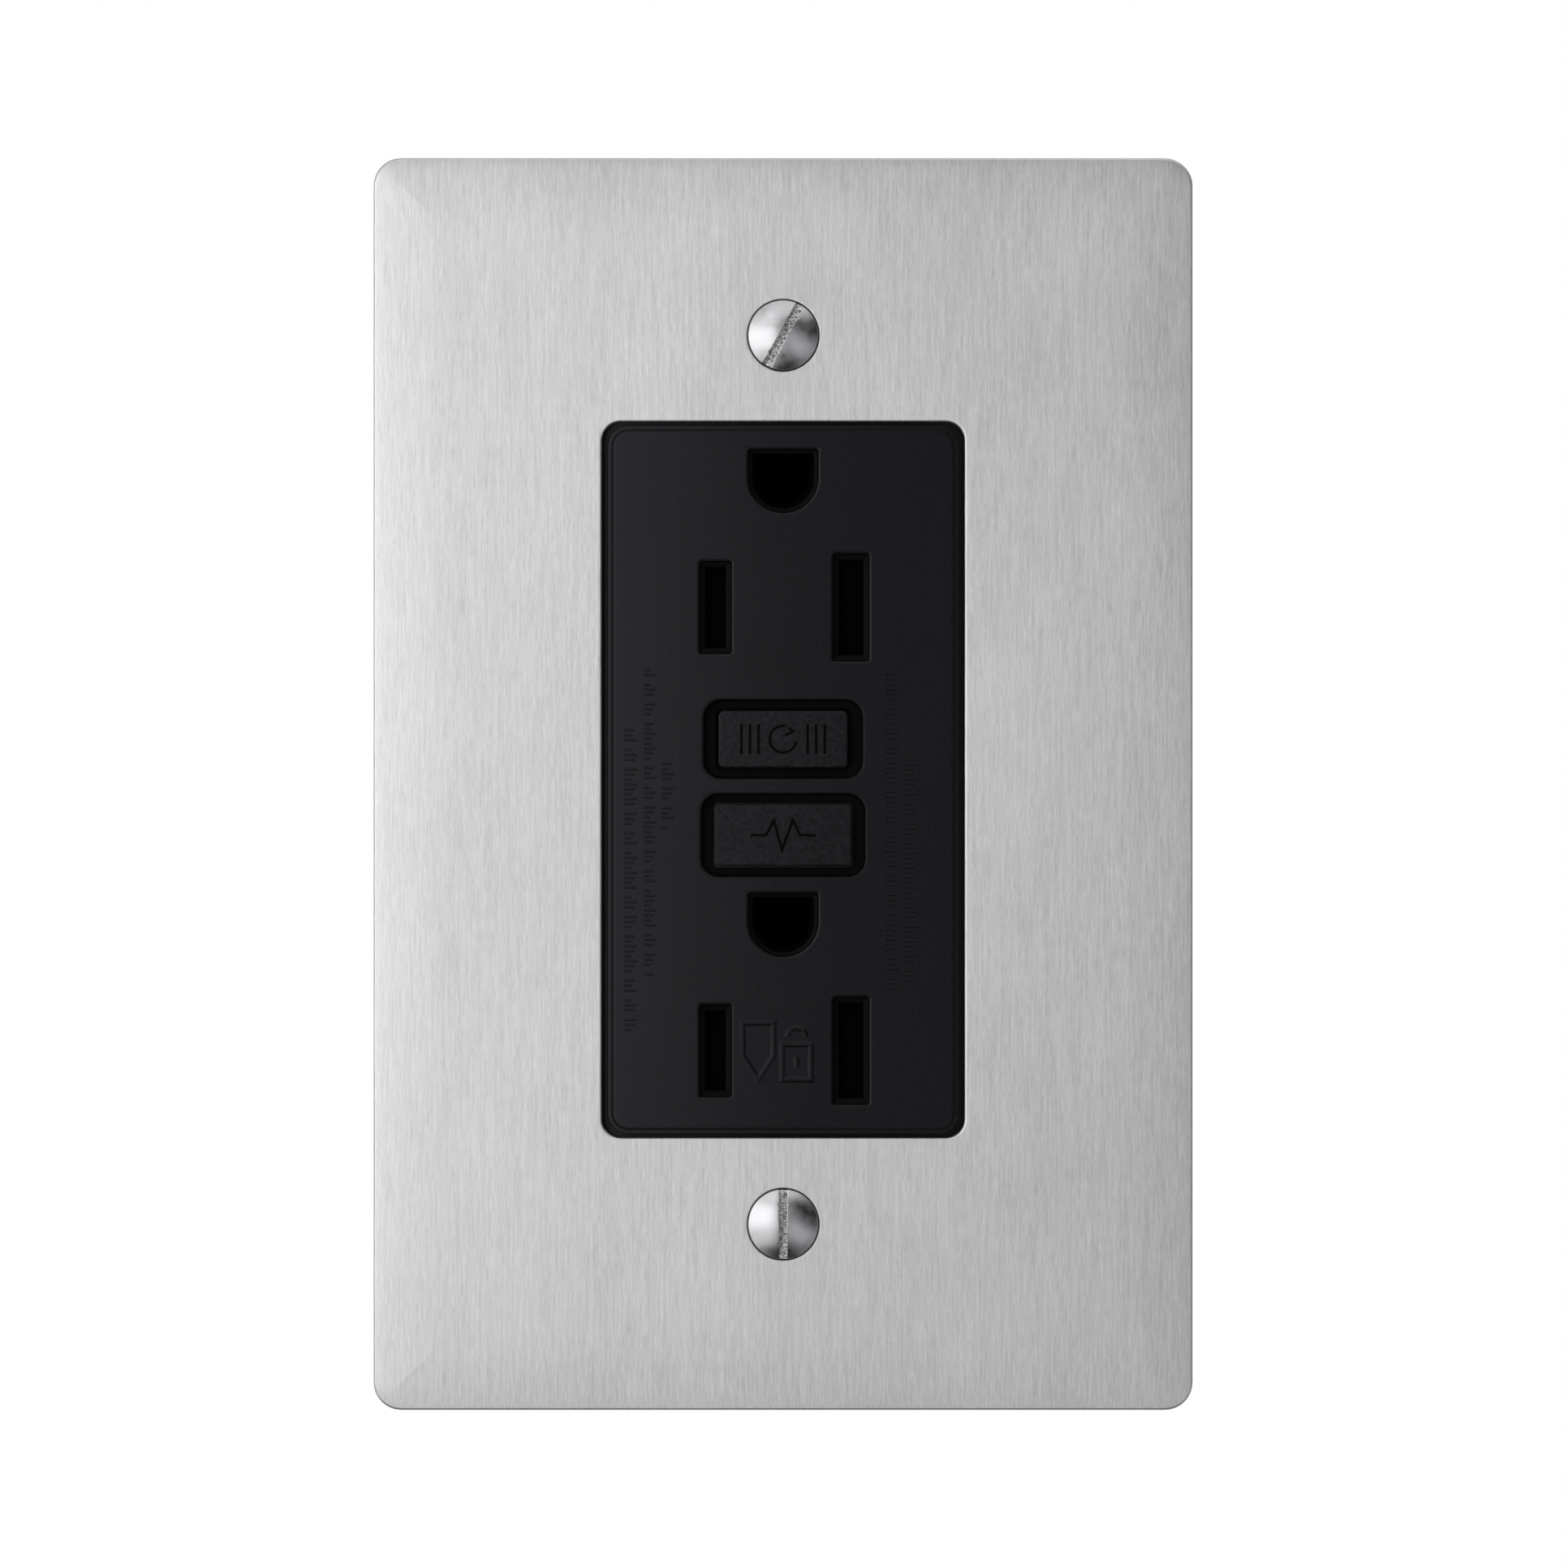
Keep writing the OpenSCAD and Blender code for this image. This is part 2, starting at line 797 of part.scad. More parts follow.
module solenoid_bobbin() {
    top = bobbin_z + bobbin_h;
    color(WHITE)
        difference() {
            union() {
                rod_z(3.2, bobbin_z, top, 0, solenoid_y);
                for (z = [bobbin_z, top - 1])
                    rod_z(6.2, z, z + 1, 0, solenoid_y);
                for (z = [bobbin_z, top - 1])
                    block([-4, solenoid_y, z], [4, board_y, z + 1]);
            }
            rod_z(2.5, bobbin_z + 1, top + 1, 0, solenoid_y);
            rod_z(1.5, bobbin_z - 1, top, 0, solenoid_y);
        }
}

module solenoid_coil() {
    color(COPPER)
        difference() {
            rod_z(5.6, bobbin_z + 1.1, bobbin_z + bobbin_h - 1.1, 0, solenoid_y);
            rod_z(3.25, bobbin_z, bobbin_z + bobbin_h, 0, solenoid_y);
        }
}

module plunger() {
    color(ZINC) {
        rod_z(1.2, 10.2, 20, 0, solenoid_y);
        rod_z(2.15, 18.6, 25.4, 0, solenoid_y);
    }
}

module plunger_spring() {
    color(STEEL)
        translate([0, solenoid_y, bobbin_z + 1])
            coil_spring(2.2, 0.35, 5, 5);
}

// Latch and contact arms --------------------------------------------------------------------------

shaft_r = 1.5;
latch_y = 16.6; // middle of the latch plate's thickness

module latch_block() {
    color(WHITE)
        difference() {
            union() {
                block([-4.7, 6.6, 0.8], [4.7, 19.4, 6.8]);
                block([-9.8, wing_y, 2.3], [9.8, 15.6, 5.3]);
                block([-2.2, 14.8, -6.1], [2.2, 18.4, 1]);
            }
            rod_y(2.2, 0, 25, 0, reset_z);
            block([-3.5, latch_y - 0.6, -2.8], [3.5, latch_y + 0.6, 9]);
            rod_z(1.4, -5.3, 0, 0, latch_y);
        }
}

module latch_plate() {
    color(STEEL) {
        difference() {
            block([-3.2, latch_y - 0.4, -0.2], [3.2, latch_y + 0.4, 9.8]);
            block([-2.2, latch_y - 1, 1.6], [2.2, latch_y + 1, 8]);
        }
        block([-2.2, 13.4, 9], [2.2, 20, 9.8]);
    }
}

module latch_spring() {
    color(STEEL)
        translate([0, latch_y, -5.3])
            coil_spring(1.2, 0.3, 5.1, 5);
}

module contact_arm(side) {
    x0 = side * arm_x - 2;
    x1 = side * arm_x + 2;
    block([x0, arm_y - arm_t / 2, -11], [x1, arm_y + arm_t / 2, contact_z + 1.8]);
    rod_y(1.6, 11.5, arm_y, side * arm_x, contact_z);
}

module hot_arm() {
    color(BRASS)
        contact_arm(HOT);
}

module neutral_arm() {
    color(ZINC)
        contact_arm(NEUTRAL);
}

// Buttons -----------------------------------------------------------------------------------------

module reset_button() {
    color(BLACK)
        difference() {
            union() {
                translate([0, 0, reset_z])
                    slab(button_front, -0.9)
                        round_rect(reset_size.x, reset_size.y, button_r);
                block([-7.2, -1.8, reset_z - 3.3], [7.2, -0.8, reset_z + 3.3]);
                rod_y(2.1, -1, 0.6, 0, reset_z);
            }
            rod_y(shaft_r, -3.2, 1, 0, reset_z);
        }
}

module reset_shaft() {
    color(STEEL) {
        rod_y(shaft_r, -3.2, 14.6, 0, reset_z);
        rod_y(1.15, 14.5, 18.2, 0, reset_z);
        rod_y(1.7, 18.1, 20.4, 0, reset_z);
    }
}

module reset_spring() {
    color(STEEL)
        translate([0, web[0], reset_z])
            rotate([90, 0, 0])
                coil_spring(3, 0.5, 5.4, 5);
}

module test_button() {
    color(BLACK) {
        translate([0, 0, test_z])
            slab(button_front, -2.9)
                round_rect(test_size.x, test_size.y, button_r);
        block([-7.2, -3.6, test_z - 3.2], [7.2, -2.7, test_z + 3.2]);
        rod_y(1.6, -3, 5, 0, test_z);
    }
}

module test_leaf() {
    color(BRASS) {
        block([-2.2, 5.5, test_z - 1.5], [7.8, 5.8, test_z + 1.5]);
        rod_y(0.9, 5.7, 6.4, -1.2, test_z);
    }
}

// Shutters ----------------------------------------------------------------------------------------

shutter_y = [skin_y + 0.2, -2.2]; // front and back
shutter_h = 11.1;

// A shutter whose front edge on the outer side is a ramp that a blade pushes against
module shutter(side, blade_z) {
    color(GREY)
        translate([0, 0, blade_z - shutter_h / 2])
            linear_extrude(shutter_h)
                polygon([
                    [side * 8.6, shutter_y[1]],
                    [side * 4.1, shutter_y[1]],
                    [side * 4.1, shutter_y[0]],
                    [side * 7.7, shutter_y[0]],
                    [side * 8.6, shutter_y[0] + 0.8]
                ]);
}

module shutter_spring(blade_z) {
    color(STEEL)
        translate([-4.1, (shutter_y[0] + shutter_y[1]) / 2, blade_z])
            rotate([0, 90, 0])
                coil_spring(0.6, 0.2, 8.2, 7);
}

module shutter_carrier(blade_z) {
    color(GREY)
        translate([0, 0, blade_z])
            slab(-2, -1.3)
                difference() {
                    square([22.6, 11.7], center = true);
                    translate([-blade_x, 0])
                        square([hot_slot.x + 0.5, hot_slot.y + 0.5], center = true);
                    translate([blade_x, 0])
                        square([neutral_slot.x + 0.3, neutral_slot.y + 0.3], center = true);
                }
}

wall_plate();
mounting_screws();
screw_retainers();
face_cover();
mounting_strap();
middle_housing();
rear_housing();
case_screws();
hot_bus();
neutral_bus();
hot_line_terminal();
neutral_line_terminal();
ground_contacts();
ground_clamp();
ground_screw();
circuit_board();
sensing_chip();
capacitors();
varistor();
thyristor();
resistors();
sense_core();
neutral_core();
core_holder();
solenoid_bobbin();
solenoid_coil();
plunger();
plunger_spring();
latch_block();
latch_plate();
latch_spring();
hot_arm();
neutral_arm();
reset_button();
reset_shaft();
reset_spring();
test_button();
test_leaf();
shutter(HOT, upper_blade_z);  // upper_hot_shutter
shutter(NEUTRAL, upper_blade_z);  // upper_neutral_shutter
shutter(HOT, lower_blade_z);  // lower_hot_shutter
shutter(NEUTRAL, lower_blade_z);  // lower_neutral_shutter
shutter_spring(upper_blade_z);  // upper_shutter_spring
shutter_spring(lower_blade_z);  // lower_shutter_spring
shutter_carrier(upper_blade_z);  // upper_shutter_carrier
shutter_carrier(lower_blade_z);  // lower_shutter_carrier
terminal_clamp(HOT, 1);  // hot_load_clamp
terminal_clamp(NEUTRAL, 1);  // neutral_load_clamp
terminal_clamp(HOT, -1);  // hot_line_clamp
terminal_clamp(NEUTRAL, -1);  // neutral_line_clamp
terminal_screw(HOT, 1);  // hot_load_screw
terminal_screw(NEUTRAL, 1);  // neutral_load_screw
terminal_screw(HOT, -1);  // hot_line_screw
terminal_screw(NEUTRAL, -1);  // neutral_line_screw
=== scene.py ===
"""Looks of a brushed wall plate with a test-and-reset duplex receptacle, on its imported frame."""

import json
import math
from functools import partial

import bmesh
import bpy
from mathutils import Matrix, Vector
from mathutils.geometry import tessellate_polygon


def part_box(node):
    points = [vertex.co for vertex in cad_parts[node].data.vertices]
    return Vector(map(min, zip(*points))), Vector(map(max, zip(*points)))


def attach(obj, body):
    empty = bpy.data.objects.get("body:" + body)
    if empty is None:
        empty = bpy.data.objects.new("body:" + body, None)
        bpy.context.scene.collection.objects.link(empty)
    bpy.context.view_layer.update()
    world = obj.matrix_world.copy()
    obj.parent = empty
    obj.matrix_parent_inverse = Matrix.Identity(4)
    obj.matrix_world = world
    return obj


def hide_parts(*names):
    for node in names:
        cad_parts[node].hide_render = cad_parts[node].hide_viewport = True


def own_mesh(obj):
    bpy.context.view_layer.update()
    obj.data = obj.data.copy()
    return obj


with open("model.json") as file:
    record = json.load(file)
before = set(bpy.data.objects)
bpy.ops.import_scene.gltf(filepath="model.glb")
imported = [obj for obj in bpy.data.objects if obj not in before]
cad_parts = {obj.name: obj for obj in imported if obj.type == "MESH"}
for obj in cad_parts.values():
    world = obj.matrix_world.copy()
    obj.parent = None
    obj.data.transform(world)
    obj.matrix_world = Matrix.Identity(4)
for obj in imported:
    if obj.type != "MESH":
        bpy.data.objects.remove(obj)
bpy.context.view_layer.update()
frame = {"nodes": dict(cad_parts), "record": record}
record = frame["record"]
mounts = {mount["name"]: mount for mount in record["mounts"]}
slot_of = {part["node"]: part["material_slot"] for part in record["subparts"]}
colour_of = {entry["slot"]: entry["base_color"] for entry in record["materials"]}

MM = 0.001
ARC = 8  # steps round a quarter circle
BAND = 0.2  # flat border kept beside each rounded or bevelled edge
BEVEL_SLOPE = math.tan(math.radians(16))


def size_of(node):
    """Lowest and highest corner of a CAD node, in millimetres."""
    low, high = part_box(node)
    return low / MM, high / MM


# Sizes in millimetres ----------------------------------------------------------------------------

plate_low, plate_high = size_of("wall_plate")
face_low, face_high = size_of("face_cover")
screw_low, screw_high = size_of("mounting_screws")

PLATE_FRONT = plate_low.y
PLATE_SIZE = (plate_high.x - plate_low.x, plate_high.z - plate_low.z)
PLATE_MIDDLE = (0, (plate_high.z + plate_low.z) / 2)
PLATE_CORNER = 2.6
PLATE_EDGE = 0.2  # rounding of the plate's front edge
PLATE_FILLET = 0.6  # inner rounding of the bent rim
CROWN_BANDS = (7.0, 5.8, 4.7, 3.7, 2.8, 2.0, 1.3, 0.7)  # distances from the edge
CROWN_DROP = 0.2  # how far the front falls away over the bands
SHEET = 0.9
OPENING = (34.0, 67.1)
OPENING_CORNER = 1.75
OPENING_EDGE = 0.2

SCREW_Z = mounts["box_screws"]["dims"]["pcd_mm"] / 2
THREAD_R = mounts["box_screws"]["dims"]["stud_r_mm"]
THREAD_PITCH = 0.794
THREAD_DEPTH = 0.42
HEAD_R = 3.3
HEAD_RIM = 0.25
HEAD_CROWN = PLATE_FRONT - HEAD_RIM - screw_low.y
HEAD_EDGE = 0.12
NECK_R = 1.45
NECK_END = 0.2
THREAD_START = 0.45
SEAT_R = 3.4
SEAT_LOW_R = 1.8
SEAT_SLOPE = math.tan(math.radians(41))
SEAT_EDGE = 0.04
SEAT_LIP = 0.4  # sheet left below the end of the cone
SEAT_RIM = 0.6  # width of the lip round the hole, on the back
SEAT_FOOT = 1.0  # how far the dimple reaches past the seat, on the back
SLOT_WIDTH = 0.78
SLOT_FLOOR = PLATE_FRONT + 0.05
SLOT_RIM = 0.05  # bevel along the slot's edges
SLOT_LEANS = {1: 29, -1: 0}  # degrees clockwise from upright, for the upper and the lower screw

FACE_FRONT = face_low.y
FACE_SIZE = (32.1, 65.6)
FACE_CORNER = 1.55
FACE_EDGE = 0.25
FACE_STEP = 0.45  # how far the ledge stands out round the face
LEDGE_Y = -4.9
LEDGE_EDGE = 0.15
FLANGE_Y = -3.4
FLANGE_SIZE = (face_high.x - face_low.x, face_high.z - face_low.z)
FLANGE_CORNER = 2.5
FLANGE_EDGE = 0.2
CAVITY_SIZE = (29.4, 63.0)
CAVITY_CORNER = 1
SKIN_Y = FACE_FRONT + 1.6
FACE_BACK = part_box("mounting_strap")[0].y / MM - 0.05
WELLS = (14, 32)  # half size of the area that holds the slots, holes and recesses
WELL_DEPTH = 0.25  # depth past which they get painted shade: near-black
BLADE_X = 6.35
BLADE_Z = (mounts["upper_outlet"]["pos_m"][2] / MM, mounts["lower_outlet"]["pos_m"][2] / MM)
SLOT_SIZES = {-1: (1.86, 7.5), 1: (2.25, 8.9)}  # the hot slot on the left and the neutral one
SLOT_CORNER = -0.35  # below zero, so that the flare starts it
SLOT_FLARE = 0.6
FLARE_END = FACE_FRONT + 0.7
RIM_EDGE = 0.2  # width of the bevel round each slot and ground hole
GROUND_Z = (28.0, -13.6)
GROUND_R = 2.85
GROUND_H = 5.1
GROUND_FLARE = 0.45
COLLAR_WALL = 0.7

RESET_Z = 3.8
TEST_Z = -5.2
RECESS_CORNER = 1.6
RECESS_EDGE = 0.25
RECESS_FLOOR = SKIN_Y - 0.25
BUTTON_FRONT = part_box("reset_button")[0].y / MM
BUTTON_CORNER = 0.5
BUTTON_EDGE = 0.14
BUTTON_GAP = 0.25
BUTTON_FLANGE_CORNER = 0.3
SYMBOL_WIDTH = 0.24
SYMBOL_DEPTH = 0.2
BUTTONS = {
    "reset_button": {"z": RESET_Z, "size": (12.1, 5.3), "recess": (14.85, 7.3)},
    "test_button": {"z": TEST_Z, "size": (12.8, 5.75), "recess": (15.3, 7.7)},
}


# Outlines, as lists of (x, z) points. Growing one moves it outward on every side. -----------------


def rect(width, height, corner, middle=(0, 0)):
    """A rectangle with round corners, as a function of how far it grows."""

    def outline(grow=0.0):
        radius = max(corner + grow, 0.02)
        inner_x = width / 2 + grow - radius
        inner_z = height / 2 + grow - radius
        points = []
        for quarter, (side_x, side_z) in enumerate(((1, 1), (-1, 1), (-1, -1), (1, -1))):
            for i in range(ARC + 1):
                angle = math.pi / 2 * (quarter + i / ARC)
                x = middle[0] + side_x * inner_x + radius * math.cos(angle)
                z = middle[1] + side_z * inner_z + radius * math.sin(angle)
                points.append((x, z))
        return points

    return outline


def circle(radius, middle=(0, 0), count=64):
    """A circle, as a function of how far it grows."""

    def outline(grow=0.0):
        angles = [2 * math.pi * i / count for i in range(count)]
        return [
            (middle[0] + (radius + grow) * math.cos(a), middle[1] + (radius + grow) * math.sin(a))
            for a in angles
        ]

    return outline


def ground_hole(middle_z):
    """A ground hole, flat on top and round below, as a function of how far it grows."""
    corner = 0.25

    def outline(grow=0.0):
        radius = GROUND_R + grow
        top = GROUND_H / 2 + grow
        centre_z = middle_z - top + radius
        points = []
        for i in range(4 * ARC + 1):
            angle = math.pi * (1 + i / (4 * ARC))
            points.append((radius * math.cos(angle), centre_z + radius * math.sin(angle)))
        for quarter, side in enumerate((1, -1)):
            for i in range(ARC + 1):
                angle = math.pi / 2 * (quarter + i / ARC)
                x = side * (radius - corner) + corner * math.cos(angle)
                points.append((x, middle_z + top - corner + corner * math.sin(angle)))
        return points

    return outline


def beside(line, distance, closed=False):
    """The points of a line moved to its left by a distance, mitred at the corners."""
    count = len(line)
    moved = []
    for i, point in enumerate(line):
        here = Vector(point)
        normals = []
        if closed or i > 0:
            back = here - Vector(line[i - 1])
            normals.append(Vector((-back.y, back.x)).normalized())
        if closed or i < count - 1:
            ahead = Vector(line[(i + 1) % count]) - here
            normals.append(Vector((-ahead.y, ahead.x)).normalized())
        mitre = sum(normals, Vector((0, 0)))
        mitre *= distance * len(normals) / max(mitre.length_squared, 0.2)
        moved.append(tuple(here + mitre))
    return moved


def arc(middle, radius, start, end, steps):
    """Points of an arc from one angle to another, in degrees."""
    angles = [math.radians(start + (end - start) * i / steps) for i in range(steps + 1)]
    return [(middle[0] + radius * math.cos(a), middle[1] + radius * math.sin(a)) for a in angles]


# Meshes ------------------------------------------------------------------------------------------


def ring(mesh, points, y):
    """A ring of vertices at one depth."""
    return [mesh.verts.new((x * MM, y * MM, z * MM)) for x, z in points]


def join(mesh, first, second):
    """Quads between two rings of equal length."""
    for i in range(len(first)):
        j = (i + 1) % len(first)
        mesh.faces.new((first[i], first[j], second[j], second[i]))


def wall(mesh, outline, steps):
    """A wall through one ring of the outline for each (grow, depth) step.

    Gives its first and last ring.
    """
    rings = [ring(mesh, outline(grow), y) for grow, y in steps]
    for first, second in zip(rings, rings[1:]):
        join(mesh, first, second)
    return rings[0], rings[-1]


def flat(mesh, outer, holes=()):
    """Fills the flat area between an outer ring and the rings of its holes."""
    loops = [outer, *holes]
    vertices = [v for loop in loops for v in loop]
    for triangle in tessellate_polygon([[v.co / MM for v in loop] for loop in loops]):
        mesh.faces.new([vertices[i] for i in triangle])


def rounding(grow, y, radius, side=1):
    """Steps round an edge, from a narrow band of the flat at depth y to the wall.

    side is 1 for an outer edge and -1 for the edge of a hole.
    """
    count = 4
    steps = [(grow - side * (radius + BAND), y)]
    for i in range(count + 1):
        turn = math.pi / 2 * i / count
        inward = side * radius * (1 - math.sin(turn))
        steps.append((grow - inward, y + radius * (1 - math.cos(turn))))
    return steps


def bevelled(grow, y, width, side=1):
    """Steps down a shallow bevel that catches the light, in place of a rounding."""
    turn_in, turn_down = 0.03, 0.04  # from the bevel into the wall
    foot = y + width * BEVEL_SLOPE
    out = grow - side * width
    steps = [(out - side * BAND, y), (out, y)]
    return steps + [(grow - side * turn_in, foot), (grow, foot + turn_down)]


def ridge(mesh, line, width, y, height, closed=False):
    """A low raised line with a rounded top, standing on the surface at depth y."""
    foot, top = y + 0.05, y - height
    section = [(-0.5, foot), (-0.5, y), (-0.15, top), (0.15, top), (0.5, y), (0.5, foot)]
    rails = [ring(mesh, beside(line, across * width, closed), depth) for across, depth in section]
    count = len(line)
    for k in range(len(section)):
        first, second = rails[k], rails[(k + 1) % len(section)]
        for i in range(count if closed else count - 1):
            j = (i + 1) % count
            mesh.faces.new((first[i], first[j], second[j], second[i]))
    if not closed:
        for end in (0, -1):
            mesh.faces.new([rail[end] for rail in rails])


def groove(mesh, line, width, y, depth):
    """A groove along an open line, sunk from depth y. Gives the ring the surface leaves open."""

    def outline(grow=0.0):
        half = width / 2 + grow
        return beside(line, half) + beside(line, -half)[::-1]

    top, bottom = wall(mesh, outline, [(0, y), (-0.15 * width, y + depth)])
    flat(mesh, bottom)
    return top


def darkened(mesh, is_dark=lambda at: True):
    """Gives the second material to the faces whose centre, in millimetres, passes the test."""
    for face in mesh.faces:
        if is_dark(face.calc_center_median() / MM):
            face.material_index = 1


def as_object(mesh, name, *slots):
    """Makes an object of a mesh, with the material of each slot."""
    data = bpy.data.meshes.new(name)
    mesh.to_mesh(data)
    mesh.free()
    for slot in slots:
        data.materials.append(material(slot))
    made = bpy.data.objects.new(name, data)
    bpy.context.scene.collection.objects.link(made)
    return made


def even_flats(made):
    """Shades the flat areas of an object evenly."""
    normals = made.modifiers.new("even_flats", "WEIGHTED_NORMAL")
    normals.keep_sharp = True


def finished(mesh, name, body, slot, sharp=35, second=None):
    """Makes a piece of a mesh, with crisp edges above an angle and even shading on its flats."""
    bmesh.ops.remove_doubles(mesh, verts=mesh.verts, dist=1e-8)
    bmesh.ops.recalc_face_normals(mesh, faces=mesh.faces)
    made = as_object(mesh, name, *filter(None, (slot, second)))
    made.data.shade_smooth()
    made.data.set_sharp_from_angle(angle=math.radians(sharp))
    even_flats(made)
    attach(made, body)
    return made


# Materials ---------------------------------------------------------------------------------------


def add(tree, kind, sockets=None, **settings):
    """Adds a shader node with its settings, and sets or links its sockets."""
    made = tree.nodes.new(kind)
    for key, value in settings.items():
        setattr(made, key, value)
    for key, value in (sockets or {}).items():
        if isinstance(value, bpy.types.NodeSocket):
            tree.links.new(value, made.inputs[key])
        else:
            made.inputs[key].default_value = value
    return made


def noise(tree, size, detail=3.0, roughness=0.55):
    """Noise whose blobs have about this size in millimetres along X, Y and Z."""
    place = add(tree, "ShaderNodeTexCoord")
    scale = [1 / (s * MM) for s in size]
    mapping = add(tree, "ShaderNodeMapping", {"Vector": place.outputs["Object"], "Scale": scale})
    sockets = {"Vector": mapping.outputs["Vector"], "Scale": 1.0}
    sockets |= {"Detail": detail, "Roughness": roughness}
    return add(tree, "ShaderNodeTexNoise", sockets).outputs["Fac"]


def spread(tree, value, low, high, start=0.3, end=0.7):
    """Maps a noise onto a range."""
    sockets = {"Value": value, "From Min": start, "From Max": end, "To Min": low, "To Max": high}
    return add(tree, "ShaderNodeMapRange", sockets).outputs["Result"]


def mixed(tree, first, second, part):
    """Two values mixed, with this part of the second."""
    sockets = {"Factor": part, "A": first, "B": second}
    return add(tree, "ShaderNodeMix", sockets).outputs["Result"]


def shades(tree, value, colour, dark, bright):
    """A colour that runs between a darker and a brighter shade with a value from 0 to 1."""
    made = add(tree, "ShaderNodeMix", {"Factor": value}, data_type="RGBA")
    made.inputs["A"].default_value = [c * dark for c in colour[:3]] + [1]
    made.inputs["B"].default_value = [min(c * bright, 1) for c in colour[:3]] + [1]
    return made.outputs["Result"]


def bump(tree, height, depth, strength=1.0, below=None):
    """Bump of a depth in millimetres, on top of another bump if one is given."""
    sockets = {"Height": height, "Distance": depth * MM, "Strength": strength}
    if below is not None:
        sockets["Normal"] = below
    return add(tree, "ShaderNodeBump", sockets).outputs["Normal"]


def principled(name, **sockets):
    """A new material with its tree and shader, and plain numbers set on the shader's sockets."""
    made = bpy.data.materials.new(name)
    made.use_nodes = True
    shader = made.node_tree.nodes["Principled BSDF"]
    for key, value in sockets.items():
        shader.inputs[key.replace("_", " ")].default_value = value
    return made, made.node_tree, shader


def link(tree, shader, **sockets):
    """Links outputs to the shader's sockets."""
    for key, value in sockets.items():
        tree.links.new(value, shader.inputs[key.replace("_", " ")])


def brushed_steel(name, colour):
    """Satin steel with a fine upright grain of short and long streaks."""
    made, tree, shader = principled(name, Metallic=0.9, Anisotropic=0.75)
    fine = noise(tree, (0.06, 0.2, 1.3), detail=2.0, roughness=0.6)
    coarse = noise(tree, (0.22, 0.6, 4.5), detail=3.0)
    cloud = noise(tree, (14.0, 14.0, 30.0), detail=2.0)
    grain = mixed(tree, fine, coarse, 0.4)
    whole = mixed(tree, grain, cloud, 0.15)
    neutral = [colour[0], colour[1], colour[2] * 0.975]
    tangent = add(tree, "ShaderNodeTangent", direction_type="UV_MAP", uv_map="grain")
    link(
        tree,
        shader,
        Base_Color=shades(tree, spread(tree, whole, 0, 1, 0.35, 0.65), neutral, 0.72, 1.06),
        Roughness=spread(tree, whole, 0.3, 0.42),
        Normal=bump(tree, grain, 0.012, 0.6),
        Tangent=tangent.outputs["Tangent"],
    )
    return made


def screw_steel(name, colour):
    """Polished steel with faint turning marks and handling wear."""
    made, tree, shader = principled(name, Metallic=1.0)
    wear = noise(tree, (0.9, 0.9, 0.9), detail=5.0)
    fine = noise(tree, (0.08, 0.08, 0.3), detail=2.0)
    link(
        tree,
        shader,
        Base_Color=shades(tree, spread(tree, wear, 0, 1), colour, 0.66, 0.8),
        Roughness=spread(tree, wear, 0.23, 0.33),
        Normal=bump(tree, fine, 0.006, 0.3),
    )
    return made


def cut_steel(name, colour):
    """The bare floor and sides of a cut slot, torn across by the saw."""
    made, tree, shader = principled(name, Metallic=0.8)
    torn = noise(tree, (0.5, 0.5, 0.13), detail=4.0, roughness=0.75)
    pits = noise(tree, (0.2, 0.2, 0.25), detail=3.0, roughness=0.7)
    whole = mixed(tree, torn, pits, 0.4)
    warm = [colour[0] * 1.3, colour[1] * 1.25, colour[2] * 1.12]
    link(
        tree,
        shader,
        Base_Color=shades(tree, spread(tree, whole, 0, 1, 0.43, 0.57), warm, 0.12, 1.3),
        Roughness=spread(tree, pits, 0.3, 0.55),
        Normal=bump(tree, whole, 0.12, 1.0),
    )
    return made


def crowned(tree, fall):
    """Bump of a front that falls away to both sides, by a slope for each millimetre."""
    place = add(tree, "ShaderNodeTexCoord")
    parts = add(tree, "ShaderNodeSeparateXYZ", {"Vector": place.outputs["Object"]})
    square = add(tree, "ShaderNodeMath", operation="POWER")
    tree.links.new(parts.outputs["X"], square.inputs[0])
    square.inputs[1].default_value = 2.0
    height = add(tree, "ShaderNodeMath", operation="MULTIPLY")
    tree.links.new(square.outputs["Value"], height.inputs[0])
    height.inputs[1].default_value = -fall / 2 / MM
    return bump(tree, height.outputs["Value"], 1 / MM)


def moulded(
    name,
    colour,
    roughness=0.45,
    grain=0.1,
    depth=0.01,
    specular=0.5,
    shade=1.0,
    fall=0.0,
    mottle=0.12,
    speckle=0.0,
    tint=(1, 1, 1),
):
    """Moulded plastic: fine spark-eroded grain, slow sheen changes and faint mottling.

    shade dims the colour, fall crowns the surface, and speckle moves the mottling into the grain.
    """
    made, tree, shader = principled(name)
    colour = [c * shade for c in colour[:3]]
    shader.inputs["Specular IOR Level"].default_value = specular
    shader.inputs["Specular Tint"].default_value = (*tint, 1)
    fine = noise(tree, (grain, grain, grain), detail=3.0, roughness=0.6)
    slow = noise(tree, (9.0, 9.0, 9.0), detail=3.0)
    spots = mixed(tree, slow, fine, speckle)
    link(
        tree,
        shader,
        Base_Color=shades(tree, spread(tree, spots, 0, 1), colour, 1 - mottle, 1 + mottle),
        Roughness=spread(tree, slow, roughness - 0.02, roughness + 0.03),
        Normal=bump(tree, fine, depth, 0.6, crowned(tree, fall) if fall else None),
    )
    return made


